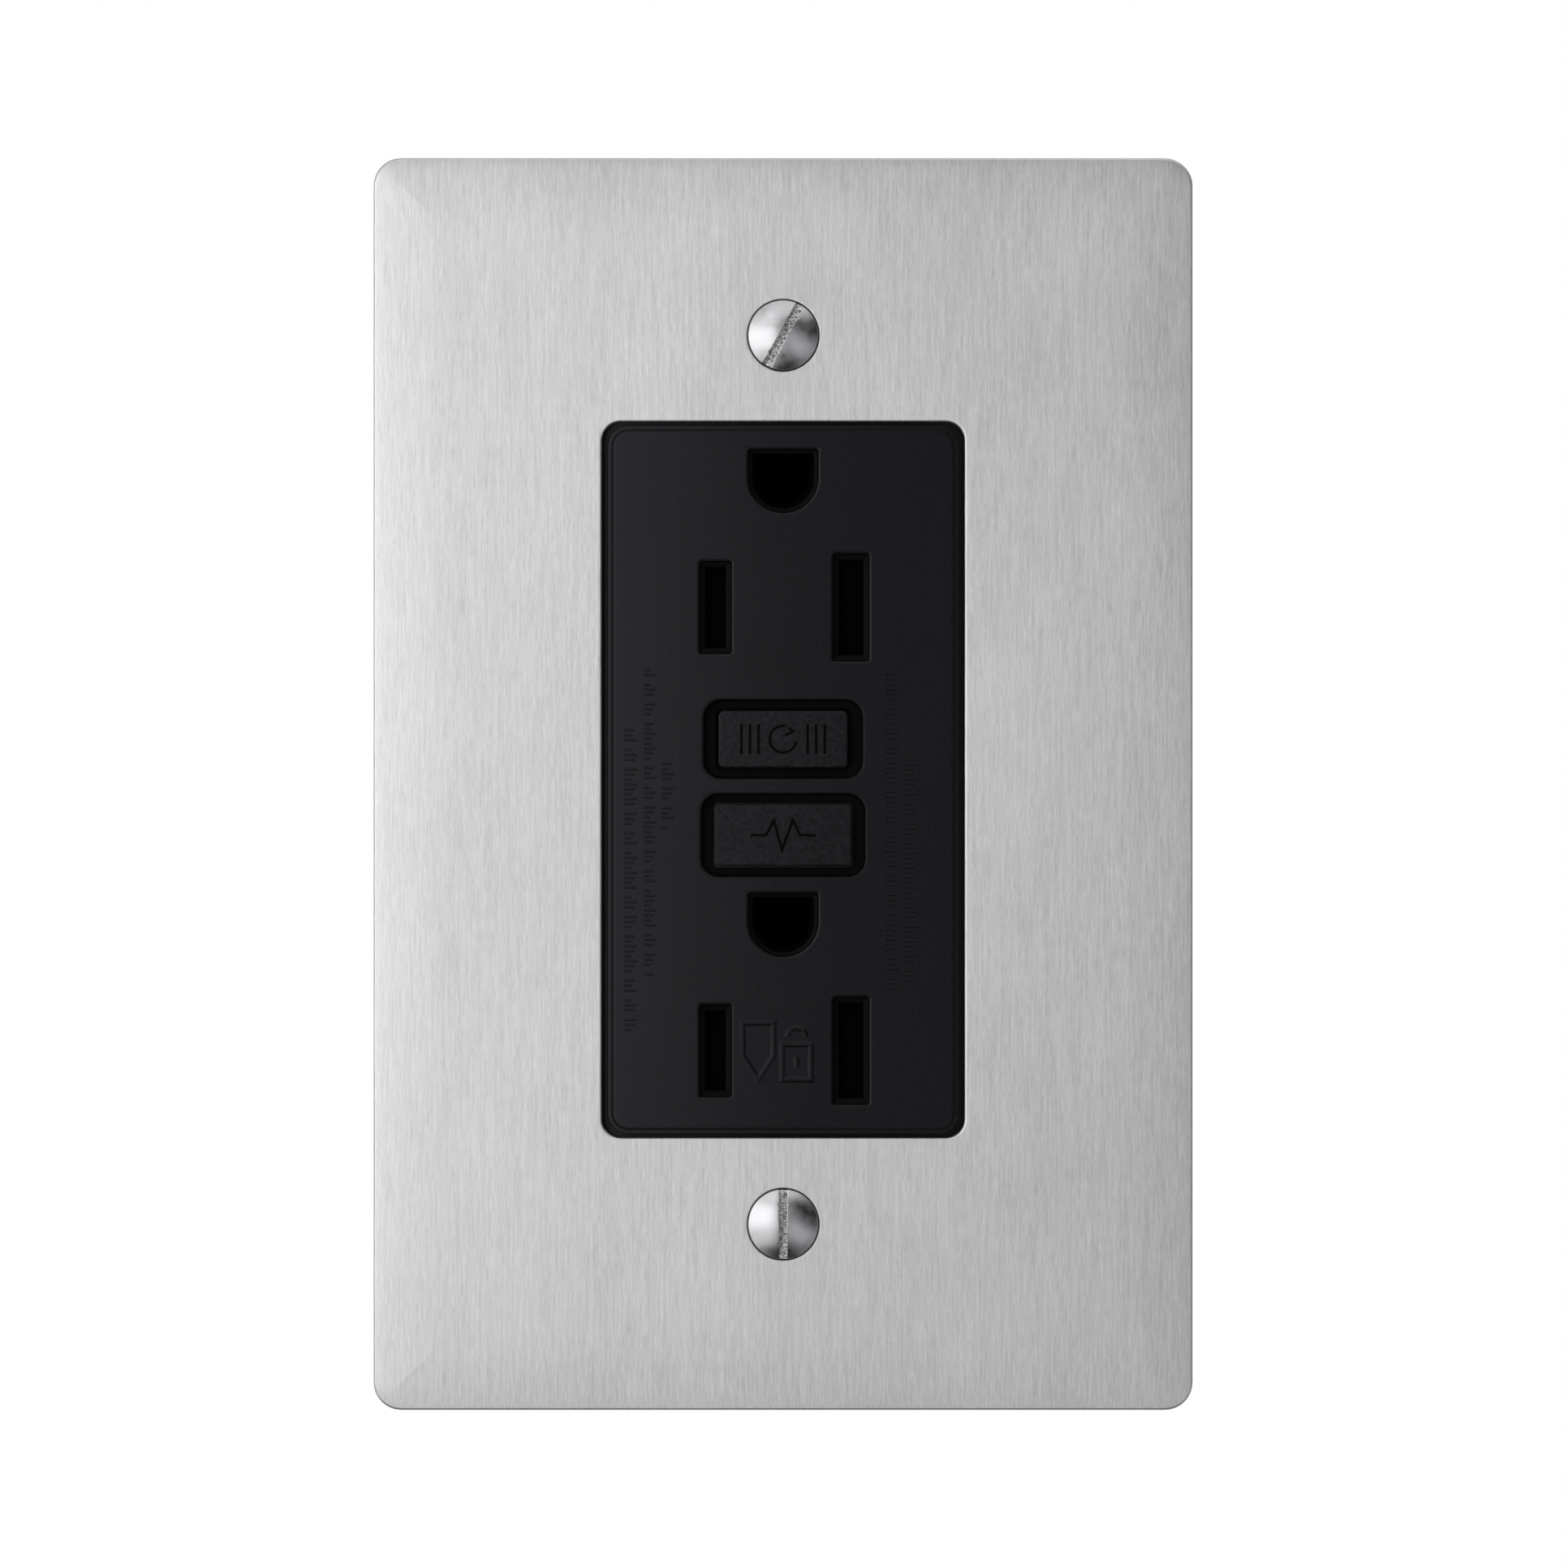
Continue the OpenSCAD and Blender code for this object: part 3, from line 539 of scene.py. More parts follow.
def plated(name, colour, roughness=0.3, grain=(0.15, 0.15, 2.5), shade=1.0):
    """Rolled or plated metal with a drawn grain, tarnish clouds and a soft sheen."""
    made, tree, shader = principled(name, Metallic=1.0)
    colour = [c * shade for c in colour[:3]]
    drawn = noise(tree, grain, detail=2.0)
    cloud = noise(tree, (4.0, 4.0, 4.0), detail=4.0)
    link(
        tree,
        shader,
        Base_Color=shades(tree, spread(tree, cloud, 0, 1), colour, 0.8, 1.08),
        Roughness=spread(tree, cloud, roughness - 0.07, roughness + 0.12),
        Normal=bump(tree, drawn, 0.008, 0.5),
    )
    return made


def enamelled_wire(name, colour):
    """Fine enamelled wire wound in close turns."""
    made, tree, shader = principled(name, Metallic=0.9, Coat_Weight=0.4)
    place = add(tree, "ShaderNodeTexCoord")
    turns = add(
        tree,
        "ShaderNodeTexWave",
        {"Vector": place.outputs["Object"], "Scale": 1400.0, "Distortion": 0.6},
        bands_direction="Z",
    )
    cloud = noise(tree, (2.0, 2.0, 2.0), detail=3.0)
    link(
        tree,
        shader,
        Base_Color=shades(tree, spread(tree, cloud, 0, 1), colour, 0.75, 1.1),
        Roughness=spread(tree, cloud, 0.25, 0.4),
        Normal=bump(tree, turns.outputs["Fac"], 0.08, 0.8),
    )
    return made


def circuit_laminate(name, colour):
    """Solder mask over a woven glass laminate."""
    made, tree, shader = principled(name, Coat_Weight=0.3)
    weave = noise(tree, (0.5, 0.5, 0.5), detail=1.0)
    cloud = noise(tree, (6.0, 6.0, 6.0), detail=3.0)
    link(
        tree,
        shader,
        Base_Color=shades(tree, spread(tree, cloud, 0, 1), colour, 0.8, 1.25),
        Roughness=spread(tree, weave, 0.28, 0.42),
        Normal=bump(tree, weave, 0.02, 0.4),
    )
    return made


COLD = (0.93, 0.94, 1.0)  # tint of the sheen on black plastic
# Base for plastics dimmed to near black as painted shade.
shade_painted_plastic = partial(moulded, grain=0.12, depth=0.002)

MAKERS = {
    "brushed_steel": brushed_steel,
    "screw_steel": screw_steel,
    "cut_steel": cut_steel,
    "copper": enamelled_wire,
    "board": circuit_laminate,
    "zinc_steel": plated,
    "brass": plated,
    "nickel_brass": plated,
    "green_screw": partial(plated, roughness=0.35),
    "spring_steel": partial(plated, roughness=0.25, grain=(0.1, 0.1, 0.1)),
    # Painted shade: brass dimmed to near black, for the ground contacts seen down the ground holes.
    "deep_brass": partial(plated, roughness=0.6, shade=0.02),
    "black_plastic": partial(
        moulded,
        roughness=0.36,
        grain=0.3,
        depth=0.014,
        specular=0.21,
        shade=0.19,
        fall=0.006,
        mottle=0.6,
        speckle=0.9,
        tint=COLD,
    ),
    "black_button": partial(
        moulded,
        roughness=0.38,
        grain=0.34,
        depth=0.05,
        specular=0.2,
        shade=0.22,
        fall=0.006,
        mottle=0.95,
        speckle=0.95,
        tint=COLD,
    ),
    # Painted shade: black plastic dimmed to near black for the faces deep in wells, holes and
    # grooves, where shade falls.
    "black_well": partial(shade_painted_plastic, roughness=0.6, specular=0.08, shade=0.06),
    # Painted shade: the shutters and the middle housing, seen down the slots and holes, dimmed to
    # near black.
    "shutter_plastic": partial(shade_painted_plastic, roughness=0.7, specular=0.02, shade=0.02),
    "capacitor": partial(moulded, roughness=0.25, grain=0.4, depth=0.01),
    "varistor": partial(moulded, roughness=0.22, grain=0.5, depth=0.03),
    "floor_paint": partial(moulded, roughness=0.8, grain=2.0, depth=0.02, mottle=0.01),
}

# Finishes that share the colour of another slot.
ALIKE = {"black_well": "black_plastic", "cut_steel": "screw_steel", "deep_brass": "brass"}
COLOURS = {"floor_paint": (0.95, 0.95, 0.95)}
materials = {}


def material(slot):
    """The material of a slot, made on first use."""
    if slot not in materials:
        colour = COLOURS.get(slot) or colour_of[ALIKE.get(slot, slot)]
        materials[slot] = MAKERS.get(slot, moulded)(slot, colour)
    return materials[slot]


# Wall plate --------------------------------------------------------------------------------------


def add_grain_map(made):
    """A flat map whose first direction runs across the upright grain."""
    layer = made.data.uv_layers.new(name="grain")
    for loop in made.data.loops:
        x, y, z = made.data.vertices[loop.vertex_index].co
        layer.data[loop.index].uv = (x + y, z + 0.1 * y)


def plate_steps():
    """Steps from the plate's crowned front over its edge and rim to the inner face."""
    outer_break, inner_break = 0.12, 0.1
    steps = []
    for width in CROWN_BANDS:
        part = 1 - width / CROWN_BANDS[0]
        steps.append((-width, PLATE_FRONT + CROWN_DROP * part**2))
    steps += rounding(0, PLATE_FRONT + CROWN_DROP, PLATE_EDGE)[1:]
    steps += [(0, -outer_break), (-outer_break, 0), (inner_break - SHEET, 0)]
    steps.append((-SHEET, -inner_break))
    inner = rounding(0, PLATE_FRONT + SHEET, PLATE_FILLET, -1)[::-1]
    return steps + [(-SHEET - grow, y) for grow, y in inner]


def seat_steps():
    """Steps down the cone of a screw's seat, and round the dimple it makes in the plate's back."""
    low = SEAT_LOW_R - SEAT_R
    cone_end = PLATE_FRONT + (SEAT_R - SEAT_LOW_R) / SEAT_SLOPE
    lip = cone_end + SEAT_LIP
    back = PLATE_FRONT + SHEET
    steps = rounding(0, PLATE_FRONT, SEAT_EDGE, -1)
    steps += [(low, cone_end), (low, lip), (low + SEAT_RIM, lip)]
    return steps + [(SEAT_FOOT, back + 0.1), (SEAT_FOOT + 0.3, back)]


def build_wall_plate():
    """The bent steel plate with its opening and the two screw seats."""
    mesh = bmesh.new()
    back = PLATE_FRONT + SHEET
    front, inside = wall(mesh, rect(*PLATE_SIZE, PLATE_CORNER, PLATE_MIDDLE), plate_steps())
    burr = 0.08  # small bevel on the back of the opening
    steps = rounding(0, PLATE_FRONT, OPENING_EDGE, -1) + [(0, back - burr), (burr, back)]
    opening_front, opening_back = wall(mesh, rect(*OPENING, OPENING_CORNER), steps)
    seats = [wall(mesh, circle(SEAT_R, (0, s * SCREW_Z), 96), seat_steps()) for s in (1, -1)]
    flat(mesh, front, [opening_front, *[seat[0] for seat in seats]])
    flat(mesh, inside, [opening_back, *[seat[1] for seat in seats]])
    made = finished(mesh, "wall_plate_sheet", "root", slot_of["wall_plate"], 50)
    add_grain_map(made)
    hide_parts("wall_plate")


# Mounting screws ---------------------------------------------------------------------------------


def turned(mesh, middle_z, profile, count):
    """A closed turned body from (radius, depth) steps. A radius may be a function of the angle."""
    angles = [2 * math.pi * i / count for i in range(count)]
    rings = []
    for radius, y in profile:
        sizes = [radius(a) if callable(radius) else radius for a in angles]
        points = [(r * math.cos(a), middle_z + r * math.sin(a)) for r, a in zip(sizes, angles)]
        rings.append(ring(mesh, points, y))
    for first, second in zip(rings, rings[1:]):
        join(mesh, first, second)
    for end, depth in ((rings[0], profile[0][1]), (rings[-1], profile[-1][1])):
        tip = mesh.verts.new((0, depth * MM, middle_z * MM))
        for i in range(count):
            mesh.faces.new((end[i], end[(i + 1) % count], tip))


def thread_steps(start, end, per_turn=8):
    """(radius, depth) steps of a screw thread, with the radius a function of the angle."""
    count = round((end - start) / THREAD_PITCH * per_turn)
    steps = []
    for i in range(count + 1):
        y = start + (end - start) * i / count
        fade = min(1, i / per_turn, (count - i) / per_turn)

        def radius(angle, y=y, fade=fade):
            phase = (y / THREAD_PITCH - angle / (2 * math.pi)) % 1
            crest = min(1.0, max(0.0, 1.5 * (1 - abs(2 * phase - 1)) - 0.2))
            return THREAD_R - THREAD_DEPTH * (1 - crest * fade)

        steps.append((radius, y))
    return steps


def head_steps():
    """(radius, depth) steps of the oval head, from the top of its dome to the neck."""
    dome_r = (HEAD_R**2 + HEAD_CROWN**2) / (2 * HEAD_CROWN)
    top = PLATE_FRONT - HEAD_RIM - HEAD_CROWN
    steps = []
    dome_count, edge_count = 20, 5
    for i in range(1, dome_count + 1):
        r = (HEAD_R - HEAD_EDGE) * i / dome_count
        steps.append((r, top + dome_r - math.sqrt(dome_r**2 - r**2)))
    low = steps[-1][1]
    slope = math.asin((HEAD_R - HEAD_EDGE) / dome_r)
    for i in range(1, edge_count + 1):
        turn = slope + (math.pi / 2 - slope) * i / edge_count
        out = HEAD_EDGE * (math.sin(turn) - math.sin(slope)) / (1 - math.sin(slope))
        drop = HEAD_EDGE * (math.cos(slope) - math.cos(turn))
        steps.append((HEAD_R - HEAD_EDGE + out, low + drop))
    over, inset, under = 0.02, 0.05, 0.03  # the small break below the rim
    steps += [(HEAD_R, PLATE_FRONT - over), (HEAD_R - inset, PLATE_FRONT + under)]
    steps.append((NECK_R, PLATE_FRONT + (HEAD_R - NECK_R) / SEAT_SLOPE))
    return steps


def slot_cutter(middle_z, lean):
    """A box that cuts the driver slot, leaning clockwise from upright."""
    half, reach, above = SLOT_WIDTH / 2, 5, 3
    sine, cosine = math.sin(math.radians(-lean)), math.cos(math.radians(-lean))
    upright = ((-half, -reach), (half, -reach), (half, reach), (-half, reach))
    corners = [(x * cosine - z * sine, middle_z + x * sine + z * cosine) for x, z in upright]
    mesh = bmesh.new()
    front = ring(mesh, corners, PLATE_FRONT - above)
    floor = ring(mesh, corners, SLOT_FLOOR)
    join(mesh, front, floor)
    mesh.faces.new(front)
    mesh.faces.new(floor)
    bmesh.ops.recalc_face_normals(mesh, faces=mesh.faces)
    darkened(mesh)
    return as_object(mesh, "cutter", "screw_steel", "cut_steel")


def cut_slot(target, cutter):
    """Cuts the slot into the screw's mesh, and rounds the slot's edges a little."""
    cut = target.modifiers.new("slot", "BOOLEAN")
    cut.object = cutter
    cut.solver = "EXACT"
    cut.material_mode = "INDEX"
    graph = bpy.context.evaluated_depsgraph_get()
    mesh = bmesh.new()
    mesh.from_object(target, graph)
    target.modifiers.remove(cut)
    bpy.data.objects.remove(cutter)
    mesh.edges.ensure_lookup_table()
    rims = [
        edge
        for edge in mesh.edges
        if len(edge.link_faces) == 2
        and {face.material_index for face in edge.link_faces} == {0, 1}
        and max(v.co.y for v in edge.verts) < (SLOT_FLOOR - SLOT_RIM) * MM
    ]
    bmesh.ops.bevel(
        mesh,
        geom=rims,
        offset=SLOT_RIM * MM,
        segments=2,
        affect="EDGES",
        profile=0.5,
        clamp_overlap=True,
        material=0,
    )
    return mesh


def build_mounting_screws():
    """The two slotted screws, turned from head to tip, as one piece of two solids."""
    profile = head_steps() + [(NECK_R, NECK_END)] + thread_steps(THREAD_START, screw_high.y)
    joined = bmesh.new()
    for side, lean in SLOT_LEANS.items():
        mesh = bmesh.new()
        turned(mesh, side * SCREW_Z, profile, 64)
        bmesh.ops.recalc_face_normals(mesh, faces=mesh.faces)
        blank = as_object(mesh, "blank", "screw_steel", "cut_steel")
        cut = cut_slot(blank, slot_cutter(side * SCREW_Z, lean))
        cut.to_mesh(blank.data)
        cut.free()
        joined.from_mesh(blank.data)
        bpy.data.objects.remove(blank)
    slot = slot_of["mounting_screws"]
    made = finished(joined, "mounting_screws_slotted", "root", slot, 40, "cut_steel")
    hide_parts("mounting_screws")


# Receptacle face ---------------------------------------------------------------------------------


def add_marks(mesh):
    """Rows of short raised dashes along both sides of the face, where a moulded legend would be."""
    # x of the row's middle, length of its dashes, top and bottom
    rows = [(-14.3, 1.2, 5.1, -23.9), (-12.5, 1.1, 10.3, -19.0), (-10.8, 1.2, 1.5, -5.3)]
    rows += [(10.2, 1.2, 9.9, -20.0), (12.0, 1.2, 1.9, -19.4)]
    pitch, width, height = 0.46, 0.24, 0.05
    gaps, beats = (0, 5, 11), 17  # the beats of each round that stay empty
    for row, (x, length, top, bottom) in enumerate(rows):
        for i in range(int((top - bottom) / pitch)):
            if (i * 7 + row * 3) % beats in gaps:
                continue
            z = top - i * pitch
            reach = (1.0, 0.55, 0.8)[(i * 5 + row) % 3] * length
            start = x - length / 2
            ridge(mesh, [(start, z), (start + reach, z)], width, FACE_FRONT, height)


def add_emblem(mesh):
    """A raised shield and padlock between the lower slots, for a shuttered outlet."""
    width, height = 0.6, 0.105
    shield = [(-3.8, -22.8), (-0.9, -22.8), (-0.9, -25.9), (-2.35, -28.1), (-3.8, -25.9)]
    ridge(mesh, shield, width, FACE_FRONT, height, closed=True)
    lock = [(-0.1, -24.8), (2.6, -24.8), (2.6, -28.1), (-0.1, -28.1)]
    ridge(mesh, lock, width, FACE_FRONT, height, closed=True)
    ridge(mesh, arc((1.25, -24.1), 0.85, 0, 180, 10), width, FACE_FRONT, height)
    ridge(mesh, [(1.25, -26.0), (1.25, -27.0)], width, FACE_FRONT, height)


def flared(mesh, outline, flare, lead):
    """A plug opening through the skin: a bevel, a steep flare, its end ramp and a straight run.

    lead is the depth of the end ramp. Gives the front and the back ring.
    """
    blend = 0.08  # small break at each end of the ramp
    steps = bevelled(flare, FACE_FRONT, RIM_EDGE, -1)
    steps += [(flare - blend, FLARE_END - lead), (blend, FLARE_END), (0, FLARE_END + blend)]
    return wall(mesh, outline, steps + [(0, SKIN_Y)])


def add_collar(mesh, outline):
    """A collar behind a ground hole, from inside the skin to the strap, narrowing inward. It takes
    the near-black painted shade and hides the bright socket behind, standing in for the shade down
    the hole.
    """
    foot, gap, taper = SKIN_Y - 0.3, 0.02, 0.45
    steps = [(gap, foot), (-taper, FACE_BACK), (COLLAR_WALL, FACE_BACK), (COLLAR_WALL, foot)]
    first, last = wall(mesh, outline, steps)
    join(mesh, last, first)


def recessed(mesh, button):
    """The well round a button and the hole the button slides in. Gives its front and back ring."""
    middle = (0, button["z"])
    hole_size = [side + 2 * BUTTON_GAP for side in button["size"]]
    foot, brink = 0.1, 0.05  # small bevels at the foot of the well and round the hole
    steps = rounding(0, FACE_FRONT, RECESS_EDGE, -1)
    steps += [(0, RECESS_FLOOR - foot), (-foot, RECESS_FLOOR)]
    opened, floor = wall(mesh, rect(*button["recess"], RECESS_CORNER, middle), steps)
    steps = [(brink, RECESS_FLOOR), (0, RECESS_FLOOR + brink), (0, SKIN_Y)]
    edge, through = wall(mesh, rect(*hole_size, BUTTON_CORNER, middle), steps)
    flat(mesh, floor, [edge])
    return opened, through


def takes_painted_shade(at):
    """Whether a point lies deep inside a slot, a ground hole or a recess of the face, where it gets
    painted shade.
    """
    return abs(at.x) < WELLS[0] and abs(at.z) < WELLS[1] and at.y > FACE_FRONT + WELL_DEPTH


def build_face_cover():
    """The moulded face with its ledge and flange, plug openings, button wells and marks."""
    mesh = bmesh.new()
    fillet = 0.05  # where the face meets its ledge
    steps = rounding(0, FACE_FRONT, FACE_EDGE)
    steps += [(0, LEDGE_Y - fillet), (fillet, LEDGE_Y)]
    steps += rounding(FACE_STEP, LEDGE_Y, LEDGE_EDGE) + [(FACE_STEP, FLANGE_Y)]
    front, foot = wall(mesh, rect(*FACE_SIZE, FACE_CORNER), steps)
    steps = rounding(0, FLANGE_Y, FLANGE_EDGE) + [(0, FACE_BACK)]
    flange_front, flange_back = wall(mesh, rect(*FLANGE_SIZE, FLANGE_CORNER), steps)
    flat(mesh, flange_front, [foot])
    cavity = rect(*CAVITY_SIZE, CAVITY_CORNER)
    cavity_back, cavity_front = wall(mesh, cavity, [(0, FACE_BACK), (0, SKIN_Y)])
    flat(mesh, flange_back, [cavity_back])
    holes = []
    for blade_z, ground_z in zip(BLADE_Z, GROUND_Z):
        for side, size in SLOT_SIZES.items():
            slot = rect(*size, SLOT_CORNER, (side * BLADE_X, blade_z))
            holes.append(flared(mesh, slot, SLOT_FLARE, 0.15))
        ground = ground_hole(ground_z)
        holes.append(flared(mesh, ground, GROUND_FLARE, 0.1))
        add_collar(mesh, ground)
    for button in BUTTONS.values():
        holes.append(recessed(mesh, button))
    # Painted shade: faces deep in the slots, ground holes and button recesses take the near-black
    # second material.
    darkened(mesh, takes_painted_shade)
    flat(mesh, front, [opened for opened, through in holes])
    flat(mesh, cavity_front, [through for opened, through in holes])
    add_marks(mesh)
    add_emblem(mesh)
    made = finished(mesh, "face_cover_moulded", "root", slot_of["face_cover"], 15, "black_well")
    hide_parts("face_cover")


# Buttons -----------------------------------------------------------------------------------------


def reset_symbol():
    """Lines of a turning arrow with three upright strokes on each side, round the middle."""
    reach = 1.4
    lines = [arc((0, 0), 1.25, 60, 350, 28), [(0.2, 1.35), (0.95, 0.75), (0.2, 0.35)]]
    for side in (-1, 1):
        for x in (2.3, 3.1, 3.9):
            lines.append([(side * x, -reach), (side * x, reach)])
    return lines


def test_symbol():
    """Line of a test pulse, round the middle."""
    return [[(-3.05, 0), (-1.6, 0), (-0.85, 1.4), (-0.1, -1.4), (0.9, 1.4), (1.6, 0), (3.05, 0)]]


def build_button(node, symbol, flange, stem_r, stem_end, bore=None):
    """A button's pad with its sunk symbol, the flange that holds it in, and its stem.

    flange is the front and back depth of the flange. bore is the radius and end of a blind bore.
    """
    mesh = bmesh.new()
    z = BUTTONS[node]["z"]
    flange_top, flange_end = flange
    flange_bevel, stem_bevel = 0.1, 0.15
    count = 40  # sides of the round stem and bore
    marks = []
    for line in symbol:
        placed = [(x, z + up) for x, up in line]
        marks.append(groove(mesh, placed, SYMBOL_WIDTH, BUTTON_FRONT, SYMBOL_DEPTH))
    # Painted shade: the walls and floors of the symbol's grooves take the near-black second
    # material.
    darkened(mesh)
    pad = rect(*BUTTONS[node]["size"], BUTTON_CORNER, (0, z))
    steps = bevelled(0, BUTTON_FRONT, BUTTON_EDGE) + [(0, flange_top)]
    front, foot = wall(mesh, pad, steps)
    flat(mesh, front, marks)
    low, high = size_of(node)
    collar = rect(high.x - low.x, high.z - low.z, BUTTON_FLANGE_CORNER, (0, z))
    steps = [(-flange_bevel, flange_top), (0, flange_top + flange_bevel), (0, flange_end)]
    flange_front, flange_back = wall(mesh, collar, steps)
    flat(mesh, flange_front, [foot])
    steps = [(0, flange_end), (0, stem_end - stem_bevel), (-stem_bevel, stem_end)]
    stem_foot, stem_tip = wall(mesh, circle(stem_r, (0, z), count), steps)
    flat(mesh, flange_back, [stem_foot])
    if bore:
        bore_r, bore_end = bore
        steps = [(0, stem_end), (0, bore_end)]
        bore_open, bore_floor = wall(mesh, circle(bore_r, (0, z), count), steps)
        flat(mesh, stem_tip, [bore_open])
        flat(mesh, bore_floor)
    else:
        flat(mesh, stem_tip)
    made = finished(mesh, node + "_pad", node.split("_")[0], slot_of[node], 15, "black_well")
    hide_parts(node)


# Springs -----------------------------------------------------------------------------------------


def build_spring(node, axis, wire, turns, body, anchor):
    """A round-wire coil in the space of its CAD stand-in. axis is 0, 1 or 2 for X, Y or Z.

    It is built at rest, over the full length of the stand-in.
    """
    low, high = size_of(node)
    middle = (low + high) / 2
    across = (axis + 1) % 3
    up = (axis + 2) % 3
    radius = (high[across] - low[across]) / 2 - wire / 2
    dead = 0.75  # closed turns at each end
    length = high[axis] - low[axis] - wire
    closed = dead * wire
    sides = 10  # of the wire's section
    per_turn = 20
    steps = round((turns + 2 * dead) * per_turn)
    mesh = bmesh.new()
    rings = []
    for i in range(steps + 1):
        turn = (turns + 2 * dead) * i / steps
        if turn < dead:
            rise = turn * wire
        elif turn > turns + dead:
            rise = length - (turns + 2 * dead - turn) * wire
        else:
            rise = closed + (turn - dead) / turns * (length - 2 * closed)
        angle = 2 * math.pi * turn
        loop = []
        for k in range(sides):
            around = 2 * math.pi * k / sides
            point = [0.0, 0.0, 0.0]
            out = radius + wire / 2 * math.cos(around)
            point[across] = middle[across] + out * math.cos(angle)
            point[up] = middle[up] + out * math.sin(angle)
            point[axis] = low[axis] + wire / 2 + rise + wire / 2 * math.sin(around)
            loop.append(mesh.verts.new([c * MM for c in point]))
        rings.append(loop)
    for first, second in zip(rings, rings[1:]):
        join(mesh, first, second)
    mesh.faces.new(rings[0])
    mesh.faces.new(rings[-1])
    made = finished(mesh, node + "_coil", body, slot_of[node])
    place = list(middle)
    place[axis] = anchor
    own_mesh(made)
    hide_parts(node)


# Carried-over CAD nodes --------------------------------------------------------------------------

# CAD nodes seen down the holes, given finishes dimmed to near black as painted shade.
PAINTED_SHADE_SLOTS = {"ground_contacts": "deep_brass", "middle_housing": "shutter_plastic"}
SOFT_EDGES = {"rear_housing": 0.35, "middle_housing": 0.2, "mounting_strap": 0.15}
SOFT_EDGE = 0.08  # of every other node


def finish_cad_node(node, piece):
    """Gives a CAD node its material, and small rounded edges through modifiers."""
    piece.data.materials.clear()
    piece.data.materials.append(material(PAINTED_SHADE_SLOTS.get(node, slot_of[node])))
    weld = piece.modifiers.new("weld", "WELD")
    weld.merge_threshold = 0.002 * MM
    edges = piece.modifiers.new("soft_edges", "BEVEL")
    edges.width = SOFT_EDGES.get(node, SOFT_EDGE) * MM
    edges.segments = 2
    edges.limit_method = "ANGLE"
    edges.angle_limit = math.radians(40)
    edges.use_clamp_overlap = True
    even_flats(piece)


# Studio ------------------------------------------------------------------------------------------

# Place and size in metres, and power, of each softbox.
SOFTBOXES = {
    "left_softbox": ((-0.205, -0.31, 0.0), (0.34, 0.55), 0.53),
    "left_core": ((-0.205, -0.305, 0.025), (0.34, 0.2), 0.21),
    "top_softbox": ((0.06, -0.30, 0.30), (0.5, 0.2), 0.3),
    "back_softbox": ((0.25, 0.5, 0.4), (0.5, 0.5), 1.3),
}


def build_camera():
    """A long lens square to the plate."""
    distance = 1600
    view_width = 147.0
    shift = 0.08  # the plate stands this much left of the middle
    camera = bpy.data.cameras.new("camera")
    camera.sensor_width = 36
    camera.lens = camera.sensor_width * (distance + PLATE_FRONT) / view_width
    camera.clip_start = 0.1
    camera.clip_end = 20
    made = bpy.data.objects.new("camera", camera)
    bpy.context.scene.collection.objects.link(made)
    made.location = Vector((shift, -distance, PLATE_MIDDLE[1])) * MM
    made.rotation_euler = (math.pi / 2, 0, 0)
    bpy.context.scene.camera = made


def build_light(name, place, size, power):
    """A rectangular softbox turned to the object."""
    light = bpy.data.lights.new(name, "AREA")
    light.shape = "RECTANGLE"
    light.size, light.size_y = size
    light.energy = power
    made = bpy.data.objects.new(name, light)
    bpy.context.scene.collection.objects.link(made)
    made.location = place
    made.rotation_euler = (-Vector(place)).to_track_quat("-Z", "Y").to_euler()
    made.visible_camera = False


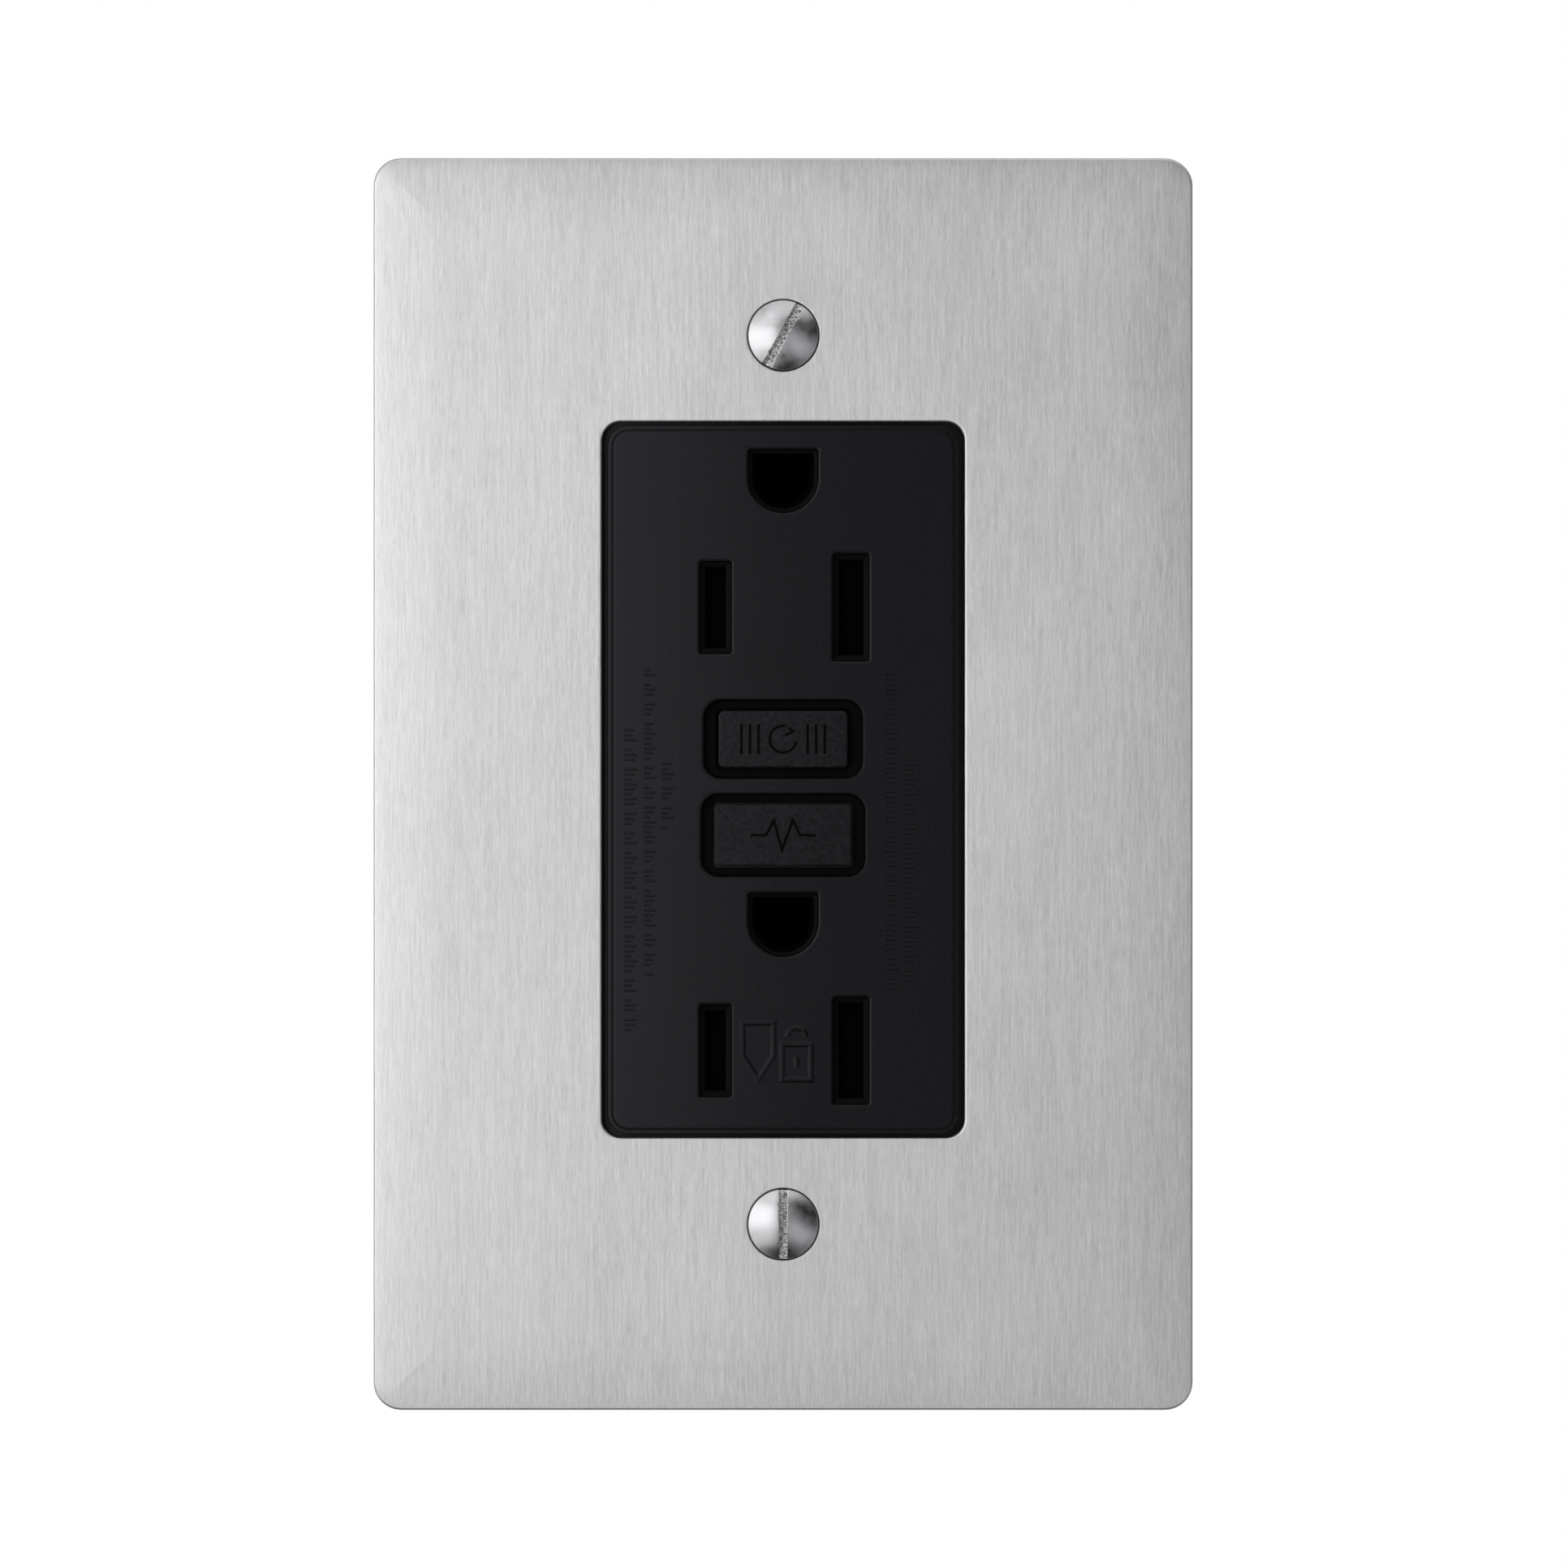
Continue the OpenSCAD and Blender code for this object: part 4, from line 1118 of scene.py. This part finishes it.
def build_world():
    """Plain white behind the object, and a dim room round it with one pale wall."""
    world = bpy.data.worlds.new("room")
    bpy.context.scene.world = world
    world.use_nodes = True
    tree = world.node_tree
    tree.nodes.clear()
    sky = add(tree, "ShaderNodeTexCoord").outputs["Generated"]

    def patch(direction, inner, outer, middle, around):
        """A value that runs from a round patch of the sky to its surroundings.

        Its inner and outer angle are in degrees.
        """
        towards = add(tree, "ShaderNodeVectorMath", operation="DOT_PRODUCT")
        tree.links.new(sky, towards.inputs[0])
        towards.inputs[1].default_value = Vector(direction).normalized()
        near, far = math.cos(math.radians(inner)), math.cos(math.radians(outer))
        ends = {"From Min": far, "From Max": near, "To Min": around, "To Max": middle}
        ends["Value"] = towards.outputs["Value"]
        blend = add(tree, "ShaderNodeMapRange", ends, interpolation_type="SMOOTHSTEP")
        return blend.outputs["Result"]

    def combined(operation, first, second):
        """Two values added or multiplied."""
        made = add(tree, "ShaderNodeMath", operation=operation)
        tree.links.new(first, made.inputs[0])
        tree.links.new(second, made.inputs[1])
        return made.outputs["Value"]

    level = patch((0.4, -0.9, -0.15), inner=10, outer=26, middle=0.8, around=0.25)
    for side in ((0.64, -0.707, 0.3), (-0.06, -0.7, -0.72)):
        shadow = patch(side, inner=14, outer=32, middle=0.0, around=1.0)
        level = combined("MULTIPLY", level, shadow)
    behind = patch((0, 1, 0.4), inner=50, outer=100, middle=0.6, around=0.0)
    level = combined("ADD", level, behind)
    light = {"Color": (0.96, 0.965, 1.0, 1), "Strength": level}
    room = add(tree, "ShaderNodeBackground", light)
    backdrop = add(tree, "ShaderNodeBackground", {"Color": (1, 1, 1, 1), "Strength": 1.0})
    path = add(tree, "ShaderNodeLightPath")
    mix = add(tree, "ShaderNodeMixShader", {"Fac": path.outputs["Is Camera Ray"]})
    tree.links.new(room.outputs["Background"], mix.inputs[1])
    tree.links.new(backdrop.outputs["Background"], mix.inputs[2])
    output = add(tree, "ShaderNodeOutputWorld")
    tree.links.new(mix.outputs["Shader"], output.inputs["Surface"])


def build_floor():
    """A pale floor below the object, clear of the straight view."""
    floor_z = -125
    mesh = bmesh.new()
    corners = rect(3000, 2400, 200, (0, -200))()
    flat(mesh, [mesh.verts.new((x * MM, y * MM, floor_z * MM)) for x, y in corners])
    made = as_object(mesh, "floor", "floor_paint")
    made.visible_glossy = False


build_camera()
build_world()
for name, (place, size, power) in SOFTBOXES.items():
    build_light(name, place, size, power)
build_floor()
build_wall_plate()
build_mounting_screws()
build_face_cover()
build_button(
    "reset_button", reset_symbol(), flange=(-1.8, -0.8), stem_r=2.1, stem_end=0.6, bore=(1.5, -3.2)
)
build_button("test_button", test_symbol(), flange=(-3.6, -2.7), stem_r=1.6, stem_end=5.0)
build_spring(
    "reset_spring",
    axis=1,
    wire=0.5,
    turns=4,
    body="root",
    anchor=4.6,
)
build_spring(
    "plunger_spring",
    axis=2,
    wire=0.35,
    turns=5,
    body="root",
    anchor=13.6,
)
build_spring(
    "latch_spring",
    axis=2,
    wire=0.3,
    turns=5,
    body="latch_block",
    anchor=-5.3,
)
for outlet in ("upper", "lower"):
    build_spring(
        outlet + "_shutter_spring",
        axis=0,
        wire=0.2,
        turns=6,
        body="root",
        anchor=0.0,
    )
for node, piece in frame["nodes"].items():
    if not piece.hide_render:
        finish_cad_node(node, piece)

scene = bpy.context.scene
scene.view_settings.view_transform = "Standard"
